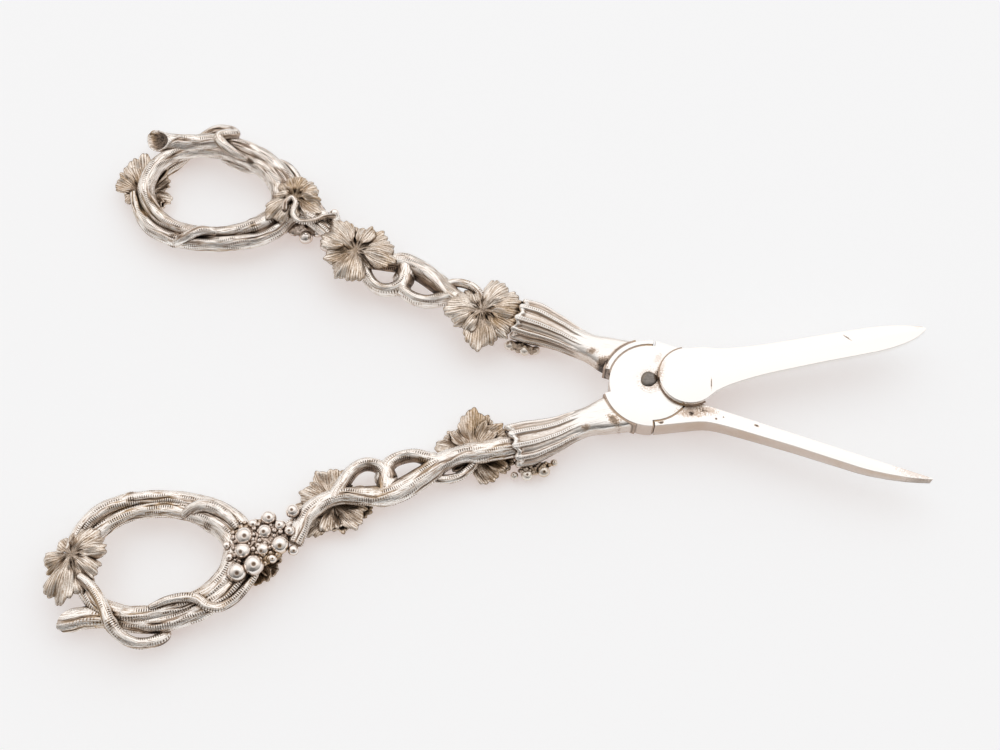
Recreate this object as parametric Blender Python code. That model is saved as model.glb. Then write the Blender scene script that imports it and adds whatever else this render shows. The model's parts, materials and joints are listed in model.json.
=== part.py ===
# Grape shears: two cast vine handles on half-lapped blades, turning on one rivet.
# +X runs from the handles to the blade tips, +Y across them, +Z out of the front face.
# The origin is on the pivot's axis, on the joint's flat back. Each arm is drawn in its own frame,
# round the middle of the joint, as it lies when shut.

import bmesh
import bpy
from math import cos, pi, radians, sin
from mathutils import Matrix, Vector

# Joint
OPEN_ANGLE = radians(30.2)
CLEARANCE = 0.0003
OVERRUN = 0.002
JOINT_THICKNESS = 0.0050
DISC_RADIUS = 0.0080
RIM_WIDTH = 0.0012
RIM_END_ANGLE = radians(259.0)
RIVET_RADIUS = 0.00125
RIVET_HEAD_RADIUS = 0.0017
RIVET_HEAD_DEPTH = 0.0006
RIVET_SINK = 0.0001

# Blades
BLADE_LENGTH = 0.0566
BAR_DEPTH = 0.0043
MEETING_DROP = 0.0007
MEETING_FALL = 0.0020
PLATE_THICKNESS = 0.0013
PLATE_ROOT_RADIUS = 0.0059
PLATE_ROOT_REACH = 0.0076

# Shank and calyx
CALYX_REACH = 0.0300
CALYX_DROP = 0.0064
CALYX_HALF_WIDTH = 0.0045
CALYX_HALF_DEPTH = 0.0039
CALYX_FLUTES = 10
CALYX_FLUTE_DEPTH = 0.00045
CALYX_SOCKET_DEPTH = 0.0030

# Stem between the calyx and the finger ring
STEM_LENGTH = 0.0430
STEM_SWAY = 0.0050
STEM_RADIUS = 0.0019
EYELET_WIDTH = 0.0017
EYELET_DEPTH = 0.0036
SHOOT_RADIUS = 0.0006

# Finger ring: its centre lies past the stem's end by a share of its own half length
RING_HALF_LENGTH = 0.0145
RING_HALF_WIDTH = 0.0125
RING_SET_BACK_SHARE = 1.786
RING_DROP_SHARE = 1.58
BRANCH_RADIUS = 0.0015
TENDRIL_RADIUS = 0.00085

# Leaves and grapes: the bunch lies before the ring's centre by a share of the ring's half length
LEAF_THICKNESS = 0.0010
LEAF_NOTCH_SHARE = 0.34
END_LEAF_REACH = 0.0085
JUNCTION_LEAF_REACH = 0.0068
STEM_LEAF_REACH = 0.0090
CALYX_LEAF_REACH = 0.0078
BUNCH_SET_FORWARD_SHARE = 1.303
BUNCH_DROP_SHARE = 1.88
BUNCH_HALF_LENGTH = 0.0060
BUNCH_HALF_WIDTH = 0.0050
BUNCH_CORE_DEPTH = 0.0022
GRAPE_RADIUS = 0.0016
SMALL_GRAPE_RADIUS = 0.0014
CALYX_GRAPE_RADIUS = 0.0010

# Finishes: colour, roughness
POLISHED_SILVER = ((0.86, 0.85, 0.83), 0.12)
BRIGHT_SILVER = ((0.82, 0.80, 0.76), 0.20)
CAST_SILVER = ((0.72, 0.68, 0.62), 0.30)
CHASED_SILVER = ((0.55, 0.50, 0.44), 0.38)
RIVET_STEEL = ((0.10, 0.095, 0.09), 0.40)

# Blade edges, as shares of the blade's length along it and of the bar's depth across it.
FRONT_OUTER_SHARES = ((0.14, 1.33), (0.21, 1.07), (0.265, 0.84), (0.35, 0.69), (0.44, 0.60), (0.62, 0.51),
                      (0.79, 0.42), (0.88, 0.28), (0.95, 0.06), (1.0, -0.18))
REAR_OUTER_SHARES = ((0.14, 1.51), (0.18, 1.28), (0.22, 1.10), (0.265, 1.03), (0.35, 1.0), (0.53, 1.01),
                     (0.71, 1.08), (0.80, 1.08), (0.92, 0.90), (1.0, 0.66))
FRONT_BAR_SHARES = FRONT_OUTER_SHARES[:8] + ((0.93, 0.02), (0.945, -0.30))
PLATE_INNER_SHARES = ((0.21, -1.19), (0.265, -1.02), (0.35, -0.90), (0.44, -0.85), (0.62, -0.84),
                      (0.80, -0.87), (0.90, -0.74), (0.96, -0.50), (1.0, -0.18))

# Shank sections: reach and drop as shares of the calyx's, half width, half depth as shares of the
# calyx's, how square the section is, and the flutes' depth as a share of the full one.
SHANK_SHARES = ((1.0, 1.0, 1.0, 1.0, 2.0, 1.0), (0.90, 1.0, 1.02, 1.0, 2.0, 1.0),
                (0.80, 0.98, 0.92, 0.91, 2.2, 0.9), (0.67, 0.91, 0.77, 0.78, 2.4, 0.6),
                (0.54, 0.77, 0.62, 0.68, 2.8, 0.25), (0.41, 0.68, 0.66, 0.64, 3.5, 0.0),
                (0.31, 0.64, 0.82, 0.64, 5.0, 0.0), (0.17, 0.64, 0.86, 0.64, 7.0, 0.0))
SHANK_POINTS = 40
DISC_POINTS = 40
RIVET_POINTS = 20

# Stem paths: along as shares of the stem's length from the calyx, across as shares of its sway,
# up as shares of its radius, and the radius as a share of the stem's.
STEM_SHARES = ((-0.05, -0.04, 0.0, 0.95), (0.105, -0.01, 0.0, 1.0), (0.198, 0.04, 0.0, 0.92),
               (0.302, -0.09, 0.0, 0.9), (0.395, -0.48, 0.0, 1.0), (0.488, -0.80, 0.0, 1.0),
               (0.581, -0.96, 0.0, 1.0), (0.674, -0.80, 0.05, 0.85), (0.763, -0.63, 0.1, 0.74),
               (0.844, -0.70, 0.15, 0.76), (0.912, -0.98, 0.2, 0.82), (0.960, -1.43, 0.2, 0.8),
               (0.991, -1.91, 0.2, 0.75))
EYELET_SHARES = (((0.835, -0.60), (0.779, -0.17), (0.740, 0.17), (0.693, 0.455), (0.640, 0.56),
                  (0.588, 0.385), (0.563, -0.015), (0.560, -0.475), (0.565, -0.75)),
                 ((0.560, -0.235), (0.551, 0.17), (0.519, 0.47), (0.465, 0.615), (0.407, 0.56),
                  (0.358, 0.265), (0.321, -0.05)))
EYELET_DEPTH_SHARES = (1.0, 0.92)
STEM_SHOOT_SHARES = ((0.350, -0.60), (0.325, -0.80), (0.285, -0.90), (0.233, -0.86), (0.186, -0.62),
                     (0.150, -0.25))
STEM_SHOOT_LIFT_SHARE = -0.35

# Ring paths: along and across as shares of the ring's half sizes, up as shares of the branch's
# radius, and the radius as a share of the branch's.
INNER_RING_SHARES = ((-0.517, -0.720, -0.1, 1.0), (-0.814, -0.528, -0.2, 1.05), (-0.979, -0.136, -0.25, 1.1),
                     (-0.952, 0.280, -0.25, 1.1), (-0.710, 0.600, -0.2, 1.0), (-0.379, 0.768, -0.1, 0.95),
                     (-0.034, 0.776, 0.0, 0.95), (0.310, 0.680, 0.0, 1.0), (0.586, 0.512, 0.0, 1.0),
                     (0.828, 0.280, 0.0, 1.0), (0.960, 0.024, 0.0, 1.0), (0.945, -0.216, 0.0, 1.0),
                     (0.828, -0.456, 0.0, 1.0), (0.621, -0.640, 0.0, 1.0), (0.310, -0.744, 0.0, 0.95),
                     (-0.034, -0.784, 0.0, 0.9), (-0.300, -0.760, 0.0, 0.95))
OUTER_RING_SHARES = ((-1.124, 0.384, 0.4, 0.75), (-0.931, 0.696, 0.4, 0.9), (-0.655, 0.920, 0.4, 0.95),
                     (-0.345, 0.992, 0.3, 0.95), (-0.034, 0.984, 0.1, 0.95), (0.276, 0.888, 0.0, 1.0),
                     (0.586, 0.752, 0.0, 1.0), (0.876, 0.568, 0.0, 1.0), (1.083, 0.320, 0.0, 1.0),
                     (1.230, 0.0, -0.3, 1.0), (1.420, -0.060, -0.6, 1.0), (1.640, 0.030, -0.6, 0.95),
                     (1.860, 0.140, -0.6, 0.9))
LOWER_RING_SHARES = ((-1.262, -0.640, 0.0, 1.15), (-0.966, -0.664, 0.0, 1.15), (-0.655, -0.776, 0.0, 1.15),
                     (-0.345, -0.928, 0.0, 1.1), (0.0, -1.008, 0.0, 1.05), (0.345, -0.976, 0.0, 1.05),
                     (0.655, -0.848, 0.0, 1.05), (0.931, -0.656, 0.0, 1.0), (1.138, -0.380, 0.0, 0.95),
                     (1.240, -0.040, -0.3, 0.9))
END_TENDRIL_SHARES = ((-0.966, -0.120, 1.60, 0.9), (-0.828, -0.336, 1.62, 1.0), (-0.710, -0.616, 1.80, 1.0),
                      (-0.607, -0.896, 1.75, 1.1), (-0.469, -1.128, 1.15, 1.1), (-0.331, -1.232, 0.0, 1.0),
                      (-0.269, -1.160, -1.15, 1.0), (-0.248, -1.0, -1.72, 1.0), (-0.103, -0.84, -1.72, 1.0),
                      (0.103, -0.752, -1.62, 0.95), (0.276, -0.720, -1.40, 0.8))
RING_SHOOT_SHARES = {
    "_lower_shoot": ((-0.138, -0.744, 1.25, 0.7), (0.069, -0.688, 1.52, 0.95), (0.276, -0.712, 1.60, 1.05),
                     (0.441, -0.800, 1.55, 1.05), (0.552, -0.928, 1.35, 1.05), (0.703, -0.984, 0.95, 1.0),
                     (0.897, -0.904, 0.70, 0.95), (1.069, -0.744, 0.55, 0.9), (1.200, -0.580, 0.45, 0.8)),
    "_back_shoot": ((-0.366, 1.032, -0.60, 0.8), (-0.172, 1.048, -1.10, 0.95), (-0.041, 0.944, -1.60, 1.0),
                    (0.041, 0.752, -1.65, 1.0), (0.172, 0.624, -1.35, 0.95), (0.290, 0.570, -0.90, 0.7)),
    "_upper_shoot": ((0.517, 0.600, 1.25, 0.8), (0.650, 0.640, 1.50, 1.0), (0.793, 0.584, 1.60, 1.0),
                     (0.945, 0.424, 1.50, 1.0), (1.040, 0.220, 1.20, 0.8))}

# Leaf lobes: the way each points in degrees, and its reach as a share of the leaf's. Leaf centres
# are shares of what carries them.
END_LEAF_LOBE_SHARES = ((5, 0.68), (53, 0.56), (123, 0.42), (192, 0.62), (250, 1.0), (276, 0.93),
                        (311, 0.74))
JUNCTION_LEAF_LOBE_SHARES = ((6, 1.0), (41, 0.80), (98, 1.0), (168, 0.60), (212, 0.78), (257, 0.85),
                             (320, 0.78))
STEM_LEAF_LOBE_SHARES = ((14, 0.78), (62, 0.74), (89, 0.82), (130, 0.66), (159, 0.78), (214, 0.96),
                         (266, 0.72), (311, 0.77), (352, 0.98))
CALYX_LEAF_LOBE_SHARES = ((31, 0.80), (72, 0.82), (130, 0.84), (166, 0.90), (215, 0.74), (260, 0.62),
                          (294, 1.0), (326, 0.80))
END_LEAF_CENTRE_SHARES = (-1.050, 0.270)
JUNCTION_LEAF_CENTRE_SHARES = (-0.38, -0.34)
STEM_LEAF_CENTRE_SHARES = (0.815, -0.67)
CALYX_LEAF_CENTRE_SHARES = (0.150, 0.30)
PETIOLE_SHARES = ((-0.40, 0.28, 1.0), (-0.38, -0.12, 1.0), (-0.12, 0.0, 1.0), (-0.03, 0.50, 1.0),
                  (0.28, 0.74, 0.9), (0.66, 0.55, 0.8), (0.98, 0.12, 0.6), (1.22, -0.14, 0.3))
PETIOLE_RADIUS = 0.0006

# Grapes: along and across as shares of the bunch's half sizes, up and size as shares of a grape's
# radius.
GRAPE_SHARES = ((-0.37, 0.38, 1.35, 1.0), (-0.47, -0.18, 1.35, 0.93), (-0.75, -0.94, 1.45, 1.0),
                (-0.22, -0.80, 1.4, 1.07), (0.13, -0.26, 1.2, 0.78), (0.28, 0.40, 1.3, 0.82),
                (0.68, -0.22, 1.35, 0.93), (0.55, 0.90, 1.1, 0.82), (0.77, 0.54, 1.2, 0.63),
                (1.03, 0.22, 1.15, 0.56), (0.86, 0.84, 1.15, 0.76), (-0.05, 0.82, 1.15, 0.56),
                (-0.95, 0.18, 1.25, 0.50), (-0.92, -0.30, 1.25, 0.47), (0.38, -0.66, 1.1, 0.5),
                (1.0, -0.40, 1.1, 0.55))
BUNCH_CORE_SHARES = (1.2, 1.15, 1.1)
FRONT_CALYX_GRAPE_SHARES = ((0.95, -1.22, -0.66, 1.05), (0.89, -1.06, -0.82, 1.15),
                            (0.83, -1.16, -0.62, 1.05), (0.76, -0.98, -0.66, 0.85))
REAR_CALYX_GRAPE_SHARES = ((0.98, 1.14, 0.64, 1.05), (0.93, 1.02, 0.82, 1.1), (0.87, 1.18, 0.62, 1.15),
                           (0.80, 1.02, 0.66, 0.9))

HALF_JOINT = JOINT_THICKNESS / 2
RIM_RADIUS = DISC_RADIUS + RIM_WIDTH
RIM_ROOT_RADIUS = DISC_RADIUS - RIM_WIDTH
RIM_ANGLES = (pi + CLEARANCE / (2 * RIM_ROOT_RADIUS), RIM_END_ANGLE)
STOP_ANGLE = 2 * pi - RIM_END_ANGLE - OPEN_ANGLE - CLEARANCE / RIM_ROOT_RADIUS
BORE_RADIUS = RIVET_RADIUS + CLEARANCE
SHANK_END_RADIUS = RIM_RADIUS + CLEARANCE
RING_REACH = CALYX_REACH + STEM_LENGTH + RING_SET_BACK_SHARE * RING_HALF_LENGTH
RING_DROP = CALYX_DROP + RING_DROP_SHARE * STEM_SWAY
BUNCH_REACH = RING_REACH - BUNCH_SET_FORWARD_SHARE * RING_HALF_LENGTH
BUNCH_DROP = CALYX_DROP + BUNCH_DROP_SHARE * STEM_SWAY


def clear_scene():
    for old in list(bpy.data.objects):
        bpy.data.objects.remove(old, do_unlink=True)


def silver(name, colour, roughness):
    material = bpy.data.materials.new(name)
    material.use_nodes = True
    shader = material.node_tree.nodes["Principled BSDF"]
    shader.inputs["Base Color"].default_value = (*colour, 1.0)
    shader.inputs["Metallic"].default_value = 1.0
    shader.inputs["Roughness"].default_value = roughness
    return material


def add_object(name, shape, arm, look=None):
    """Turns a bmesh into an object that hangs on an arm. With no look it is a cutter."""
    bmesh.ops.recalc_face_normals(shape, faces=shape.faces)
    mesh = bpy.data.meshes.new(name)
    shape.to_mesh(mesh)
    shape.free()
    mesh.shade_smooth()
    mesh.set_sharp_from_angle(angle=radians(40))
    item = bpy.data.objects.new(name, mesh)
    bpy.context.collection.objects.link(item)
    item.parent = arm
    if look:
        mesh.materials.append(silver(name, *look))
    else:
        item.hide_render = True
        item.display_type = "WIRE"
    return item


def boolean(target, tool, operation):
    step = target.modifiers.new(operation.lower() + "_" + tool.name, "BOOLEAN")
    step.operation = operation
    step.solver = "EXACT"
    step.object = tool


def cut(target, tools):
    for tool in tools:
        boolean(target, tool, "DIFFERENCE")


def fuse(target, tools):
    for tool in tools:
        boolean(target, tool, "UNION")


def smooth_path(points, steps, closed=False):
    """Catmull-Rom points through a hand-drawn route; each point is a tuple of any length."""
    count = len(points)
    result = []
    for index in range(count if closed else count - 1):
        if closed:
            window = [points[(index + shift) % count] for shift in (-1, 0, 1, 2)]
        else:
            window = [points[min(max(index + shift, 0), count - 1)] for shift in (-1, 0, 1, 2)]
        for step in range(steps):
            t = step / steps
            weights = ((-t + 2 * t ** 2 - t ** 3) / 2, (2 - 5 * t ** 2 + 3 * t ** 3) / 2,
                       (t + 4 * t ** 2 - 3 * t ** 3) / 2, (-t ** 2 + t ** 3) / 2)
            result.append(tuple(sum(w * p[axis] for w, p in zip(weights, window))
                                for axis in range(len(points[0]))))
    if not closed:
        result.append(tuple(points[-1]))
    return result


def sweep(route, sides, closed=False, grow=0.0):
    """A tube along (x, y, z, half width, half depth) stations, grown all over by grow."""
    shape = bmesh.new()
    count = len(route)
    places = [Vector(station[:3]) for station in route]
    rings = []
    across = None
    for index, place in enumerate(places):
        if closed:
            along = places[(index + 1) % count] - places[index - 1]
        else:
            along = places[min(index + 1, count - 1)] - places[max(index - 1, 0)]
        along.normalize()
        if across is None:
            across = Vector((0, 0, 1)).cross(along)
        across = (across - along * across.dot(along)).normalized()
        up = along.cross(across)
        end = 0.0 if closed else grow * ((index == count - 1) - (index == 0))
        half_width = route[index][3] + grow
        half_depth = route[index][4] + grow
        ring = []
        for side in range(sides):
            angle = 2 * pi * side / sides
            spot = place + along * end + across * (cos(angle) * half_width) + up * (sin(angle) * half_depth)
            ring.append(shape.verts.new(spot))
        rings.append(ring)
    pairs = list(zip(rings, rings[1:])) + ([(rings[-1], rings[0])] if closed else [])
    for first, second in pairs:
        for side in range(sides):
            after = (side + 1) % sides
            shape.faces.new((first[side], first[after], second[after], second[side]))
    if not closed:
        shape.faces.new(list(reversed(rings[0])))
        shape.faces.new(rings[-1])
    return shape


def prism(outline, low, high):
    """A flat plate with the outline of (x, y) points, from one height to the other."""
    shape = bmesh.new()
    base = [shape.verts.new((x, y, low)) for x, y in outline]
    face = shape.faces.new(base)
    raised = bmesh.ops.extrude_face_region(shape, geom=[face])["geom"]
    top = [part for part in raised if isinstance(part, bmesh.types.BMVert)]
    bmesh.ops.translate(shape, vec=(0, 0, high - low), verts=top)
    return shape


def cylinder(radius, low, high, points):
    shape = bmesh.new()
    bmesh.ops.create_cone(shape, cap_ends=True, segments=points, radius1=radius, radius2=radius,
                          depth=high - low)
    bmesh.ops.translate(shape, vec=(0, 0, (low + high) / 2), verts=shape.verts)
    return shape


def ball(place, radii, detail=2):
    shape = bmesh.new()
    transform = Matrix.Translation(place) @ Matrix.Diagonal((*radii, 1))
    bmesh.ops.create_icosphere(shape, subdivisions=detail, radius=1, matrix=transform)
    return shape


def fuse_grapes(target, arm, grapes):
    """Joins (place, radius) balls to the twig or core that carries them."""
    for number, (place, radius) in enumerate(grapes):
        grape = ball(place, (radius,) * 3, detail=2 if radius > SMALL_GRAPE_RADIUS else 1)
        fuse(target, [add_object(f"{target.name}_form_{number}", grape, arm)])


def arc(radius, start, end, steps):
    return [(radius * cos(start + (end - start) * step / steps),
             radius * sin(start + (end - start) * step / steps)) for step in range(steps + 1)]


def ring_place(along, across, up=0.0):
    return (-RING_REACH + along * RING_HALF_LENGTH, -RING_DROP + across * RING_HALF_WIDTH,
            up * BRANCH_RADIUS)


def stem_place(along, across, up=0.0):
    return (-CALYX_REACH - along * STEM_LENGTH, -CALYX_DROP + across * STEM_SWAY, up * STEM_RADIUS)


def bunch_place(along, across, up=0.0):
    return (-BUNCH_REACH + along * BUNCH_HALF_LENGTH, -BUNCH_DROP + across * BUNCH_HALF_WIDTH,
            up * GRAPE_RADIUS)


def ring_route(shares, radius, steps, closed=False):
    smooth = smooth_path(shares, steps, closed)
    return [(*ring_place(along, across, up), size * radius, size * radius)
            for along, across, up, size in smooth]


def meeting_line(x, side):
    """The line where the two shut bars face each other, half the clearance to either side."""
    share = x / BLADE_LENGTH
    return -MEETING_DROP - MEETING_FALL * share + side * CLEARANCE / 2


def add_bar(name, arm, outer_shares, meeting_side):
    """Half-lap disc, stop rim, shoulder and full-depth bar: one forging."""
    disc = cylinder(DISC_RADIUS, CLEARANCE / 2, HALF_JOINT, DISC_POINTS)
    bar = add_object(name, disc, arm, POLISHED_SILVER)
    rim = prism(arc(RIM_RADIUS, *RIM_ANGLES, 16) + arc(RIM_ROOT_RADIUS, *reversed(RIM_ANGLES), 16),
                -HALF_JOINT, HALF_JOINT)
    outer = smooth_path([(x * BLADE_LENGTH, y * BAR_DEPTH) for x, y in outer_shares], 2)
    tip_x, tip_y = outer[-1]
    root_y = meeting_side * meeting_line(RIM_ROOT_RADIUS, meeting_side)
    tip_inner_y = min(meeting_side * meeting_line(tip_x, meeting_side), tip_y - CLEARANCE)
    stop = [(radius * cos(STOP_ANGLE), radius * sin(STOP_ANGLE)) for radius in (RIM_ROOT_RADIUS, RIM_RADIUS)]
    edge = stop + outer + [(tip_x, tip_inner_y), (RIM_ROOT_RADIUS, root_y)]
    shoulder = prism(edge, -HALF_JOINT, HALF_JOINT)
    fuse(bar, [add_object(name + "_rim_form", rim, arm), add_object(name + "_bar_form", shoulder, arm)])
    lap = cylinder(DISC_RADIUS + CLEARANCE, -HALF_JOINT - OVERRUN, CLEARANCE / 2, DISC_POINTS)
    bore = cylinder(BORE_RADIUS, -HALF_JOINT, HALF_JOINT + OVERRUN, RIVET_POINTS)
    head_space = RIVET_HEAD_RADIUS + CLEARANCE
    sink = cylinder(head_space, HALF_JOINT - RIVET_SINK - RIVET_HEAD_DEPTH - CLEARANCE, HALF_JOINT + OVERRUN,
                    RIVET_POINTS)
    cut(bar, [add_object(name + "_lap_cut", lap, arm), add_object(name + "_bore_cut", bore, arm),
              add_object(name + "_head_cut", sink, arm)])
    return bar


def add_cutting_plate(name, arm):
    """The broad thin blade over the front bar, with a round root on the disc's face."""
    low = HALF_JOINT + CLEARANCE
    outer = smooth_path([(x * BLADE_LENGTH, y * BAR_DEPTH) for x, y in FRONT_OUTER_SHARES[1:]], 2)
    inner = smooth_path([(x * BLADE_LENGTH, y * BAR_DEPTH) for x, y in PLATE_INNER_SHARES], 2)
    root = [(PLATE_ROOT_REACH + x, y - MEETING_DROP) for x, y in
            arc(PLATE_ROOT_RADIUS, radians(75), radians(290), 20)]
    plate = prism(root + inner[:-1] + list(reversed(outer)), low, low + PLATE_THICKNESS)
    add_object(name, plate, arm, POLISHED_SILVER)


def add_shank(name, arm):
    """Fluted calyx that narrows to a plain shank and ends against the joint's rim."""
    shape = bmesh.new()
    rings = []
    for reach, drop, width, depth, square, flute in SHANK_SHARES:
        ring = []
        for point in range(SHANK_POINTS):
            angle = 2 * pi * point / SHANK_POINTS
            flat = (abs(cos(angle)) ** square + abs(sin(angle)) ** square) ** (-1 / square)
            groove = CALYX_FLUTE_DEPTH * flute * (cos(CALYX_FLUTES * angle) - 1) / 2
            across = cos(angle) * (width * CALYX_HALF_WIDTH * flat + groove)
            up = sin(angle) * (depth * CALYX_HALF_DEPTH * flat + groove)
            ring.append(shape.verts.new((-reach * CALYX_REACH, -drop * CALYX_DROP + across, up)))
        rings.append(ring)
    for first, second in zip(rings, rings[1:]):
        for point in range(SHANK_POINTS):
            after = (point + 1) % SHANK_POINTS
            shape.faces.new((first[point], first[after], second[after], second[point]))
    shape.faces.new(list(reversed(rings[0])))
    shape.faces.new(rings[-1])
    shank = add_object(name, shape, arm, BRIGHT_SILVER)
    end = cylinder(SHANK_END_RADIUS, -HALF_JOINT - OVERRUN, HALF_JOINT + OVERRUN, DISC_POINTS)
    mouth = stem_place(0.0, STEM_SHARES[0][1])
    radius = STEM_RADIUS + CLEARANCE
    socket = sweep([(mouth[0] - OVERRUN, mouth[1], 0, radius, radius),
                    (mouth[0] + CALYX_SOCKET_DEPTH, mouth[1], 0, radius, radius)], 16)
    cut(shank, [add_object(name + "_end_cut", end, arm), add_object(name + "_socket_cut", socket, arm)])


def stem_route():
    smooth = smooth_path(STEM_SHARES, 2)
    return [(*stem_place(along, across, up), size * STEM_RADIUS, size * STEM_RADIUS)
            for along, across, up, size in smooth]


def eyelet_route(shares, depth_share):
    smooth = smooth_path(shares, 2)
    return [(*stem_place(along, across), EYELET_WIDTH / 2, depth_share * EYELET_DEPTH / 2)
            for along, across in smooth]


def leaf_shape(centre, lobe_shares, reach, lift, dome, grow=0.0):
    """A lobed plate of even thickness whose edge bends by dome from its lifted middle."""
    shape = bmesh.new()
    outline = []
    steps = 4
    for index, (angle, share) in enumerate(lobe_shares):
        next_angle, next_share = lobe_shares[(index + 1) % len(lobe_shares)]
        turn = (next_angle - angle) % 360
        for step in range(steps):
            t = step / steps
            notch = LEAF_NOTCH_SHARE * sin(pi * t) ** 3
            radius = reach * (share + (next_share - share) * t) * (1 - notch) + grow
            outline.append((radians(angle + turn * t), radius))
    half = LEAF_THICKNESS / 2 + grow
    layers = []
    for side in (1, -1):
        hub = shape.verts.new((centre[0], centre[1], lift + side * half))
        inner, edge = [[shape.verts.new((centre[0] + cos(angle) * radius * share,
                                         centre[1] + sin(angle) * radius * share,
                                         lift + dome * (radius * share / reach) ** 2 + side * half))
                        for angle, radius in outline] for share in (0.5, 1.0)]
        layers.append((hub, inner, edge))
    count = len(outline)
    for (hub, inner, edge), side in zip(layers, (1, -1)):
        for index in range(count):
            after = (index + 1) % count
            shape.faces.new((hub, inner[index], inner[after])[::side])
            shape.faces.new((inner[index], edge[index], edge[after], inner[after])[::side])
    top, bottom = layers[0][2], layers[1][2]
    for index in range(count):
        after = (index + 1) % count
        shape.faces.new((bottom[index], bottom[after], top[after], top[index]))
    return shape


def petiole_route():
    base = -STEM_RADIUS - CLEARANCE - LEAF_THICKNESS - CLEARANCE - PETIOLE_RADIUS
    places = [(*bunch_place(along, across)[:2], base * up) for along, across, up in PETIOLE_SHARES]
    return [(x, y, z, PETIOLE_RADIUS, PETIOLE_RADIUS) for x, y, z in smooth_path(places, 2)]


def add_bunch(name, arm):
    """Grapes on a flat core, fused to one solid."""
    length_share, width_share, lift_share = BUNCH_CORE_SHARES
    core = ball(bunch_place(0.0, 0.0, lift_share), (length_share * BUNCH_HALF_LENGTH,
                                                    width_share * BUNCH_HALF_WIDTH, BUNCH_CORE_DEPTH / 2))
    bunch = add_object(name, core, arm, BRIGHT_SILVER)
    fuse_grapes(bunch, arm, [(bunch_place(along, across, up), size * GRAPE_RADIUS)
                             for along, across, up, size in GRAPE_SHARES])
    return bunch


def add_calyx_grapes(name, arm, shares):
    """A short twig of grapes under the calyx."""
    grapes = [((-along * CALYX_REACH, -CALYX_DROP + across * CALYX_HALF_WIDTH, up * CALYX_HALF_DEPTH),
               size * CALYX_GRAPE_RADIUS) for along, across, up, size in shares]
    radius = CALYX_GRAPE_RADIUS / 2
    twig = sweep([(*place, radius, radius) for place, size in grapes], 6)
    cluster = add_object(name, twig, arm, BRIGHT_SILVER)
    fuse_grapes(cluster, arm, grapes)
    return cluster


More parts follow.
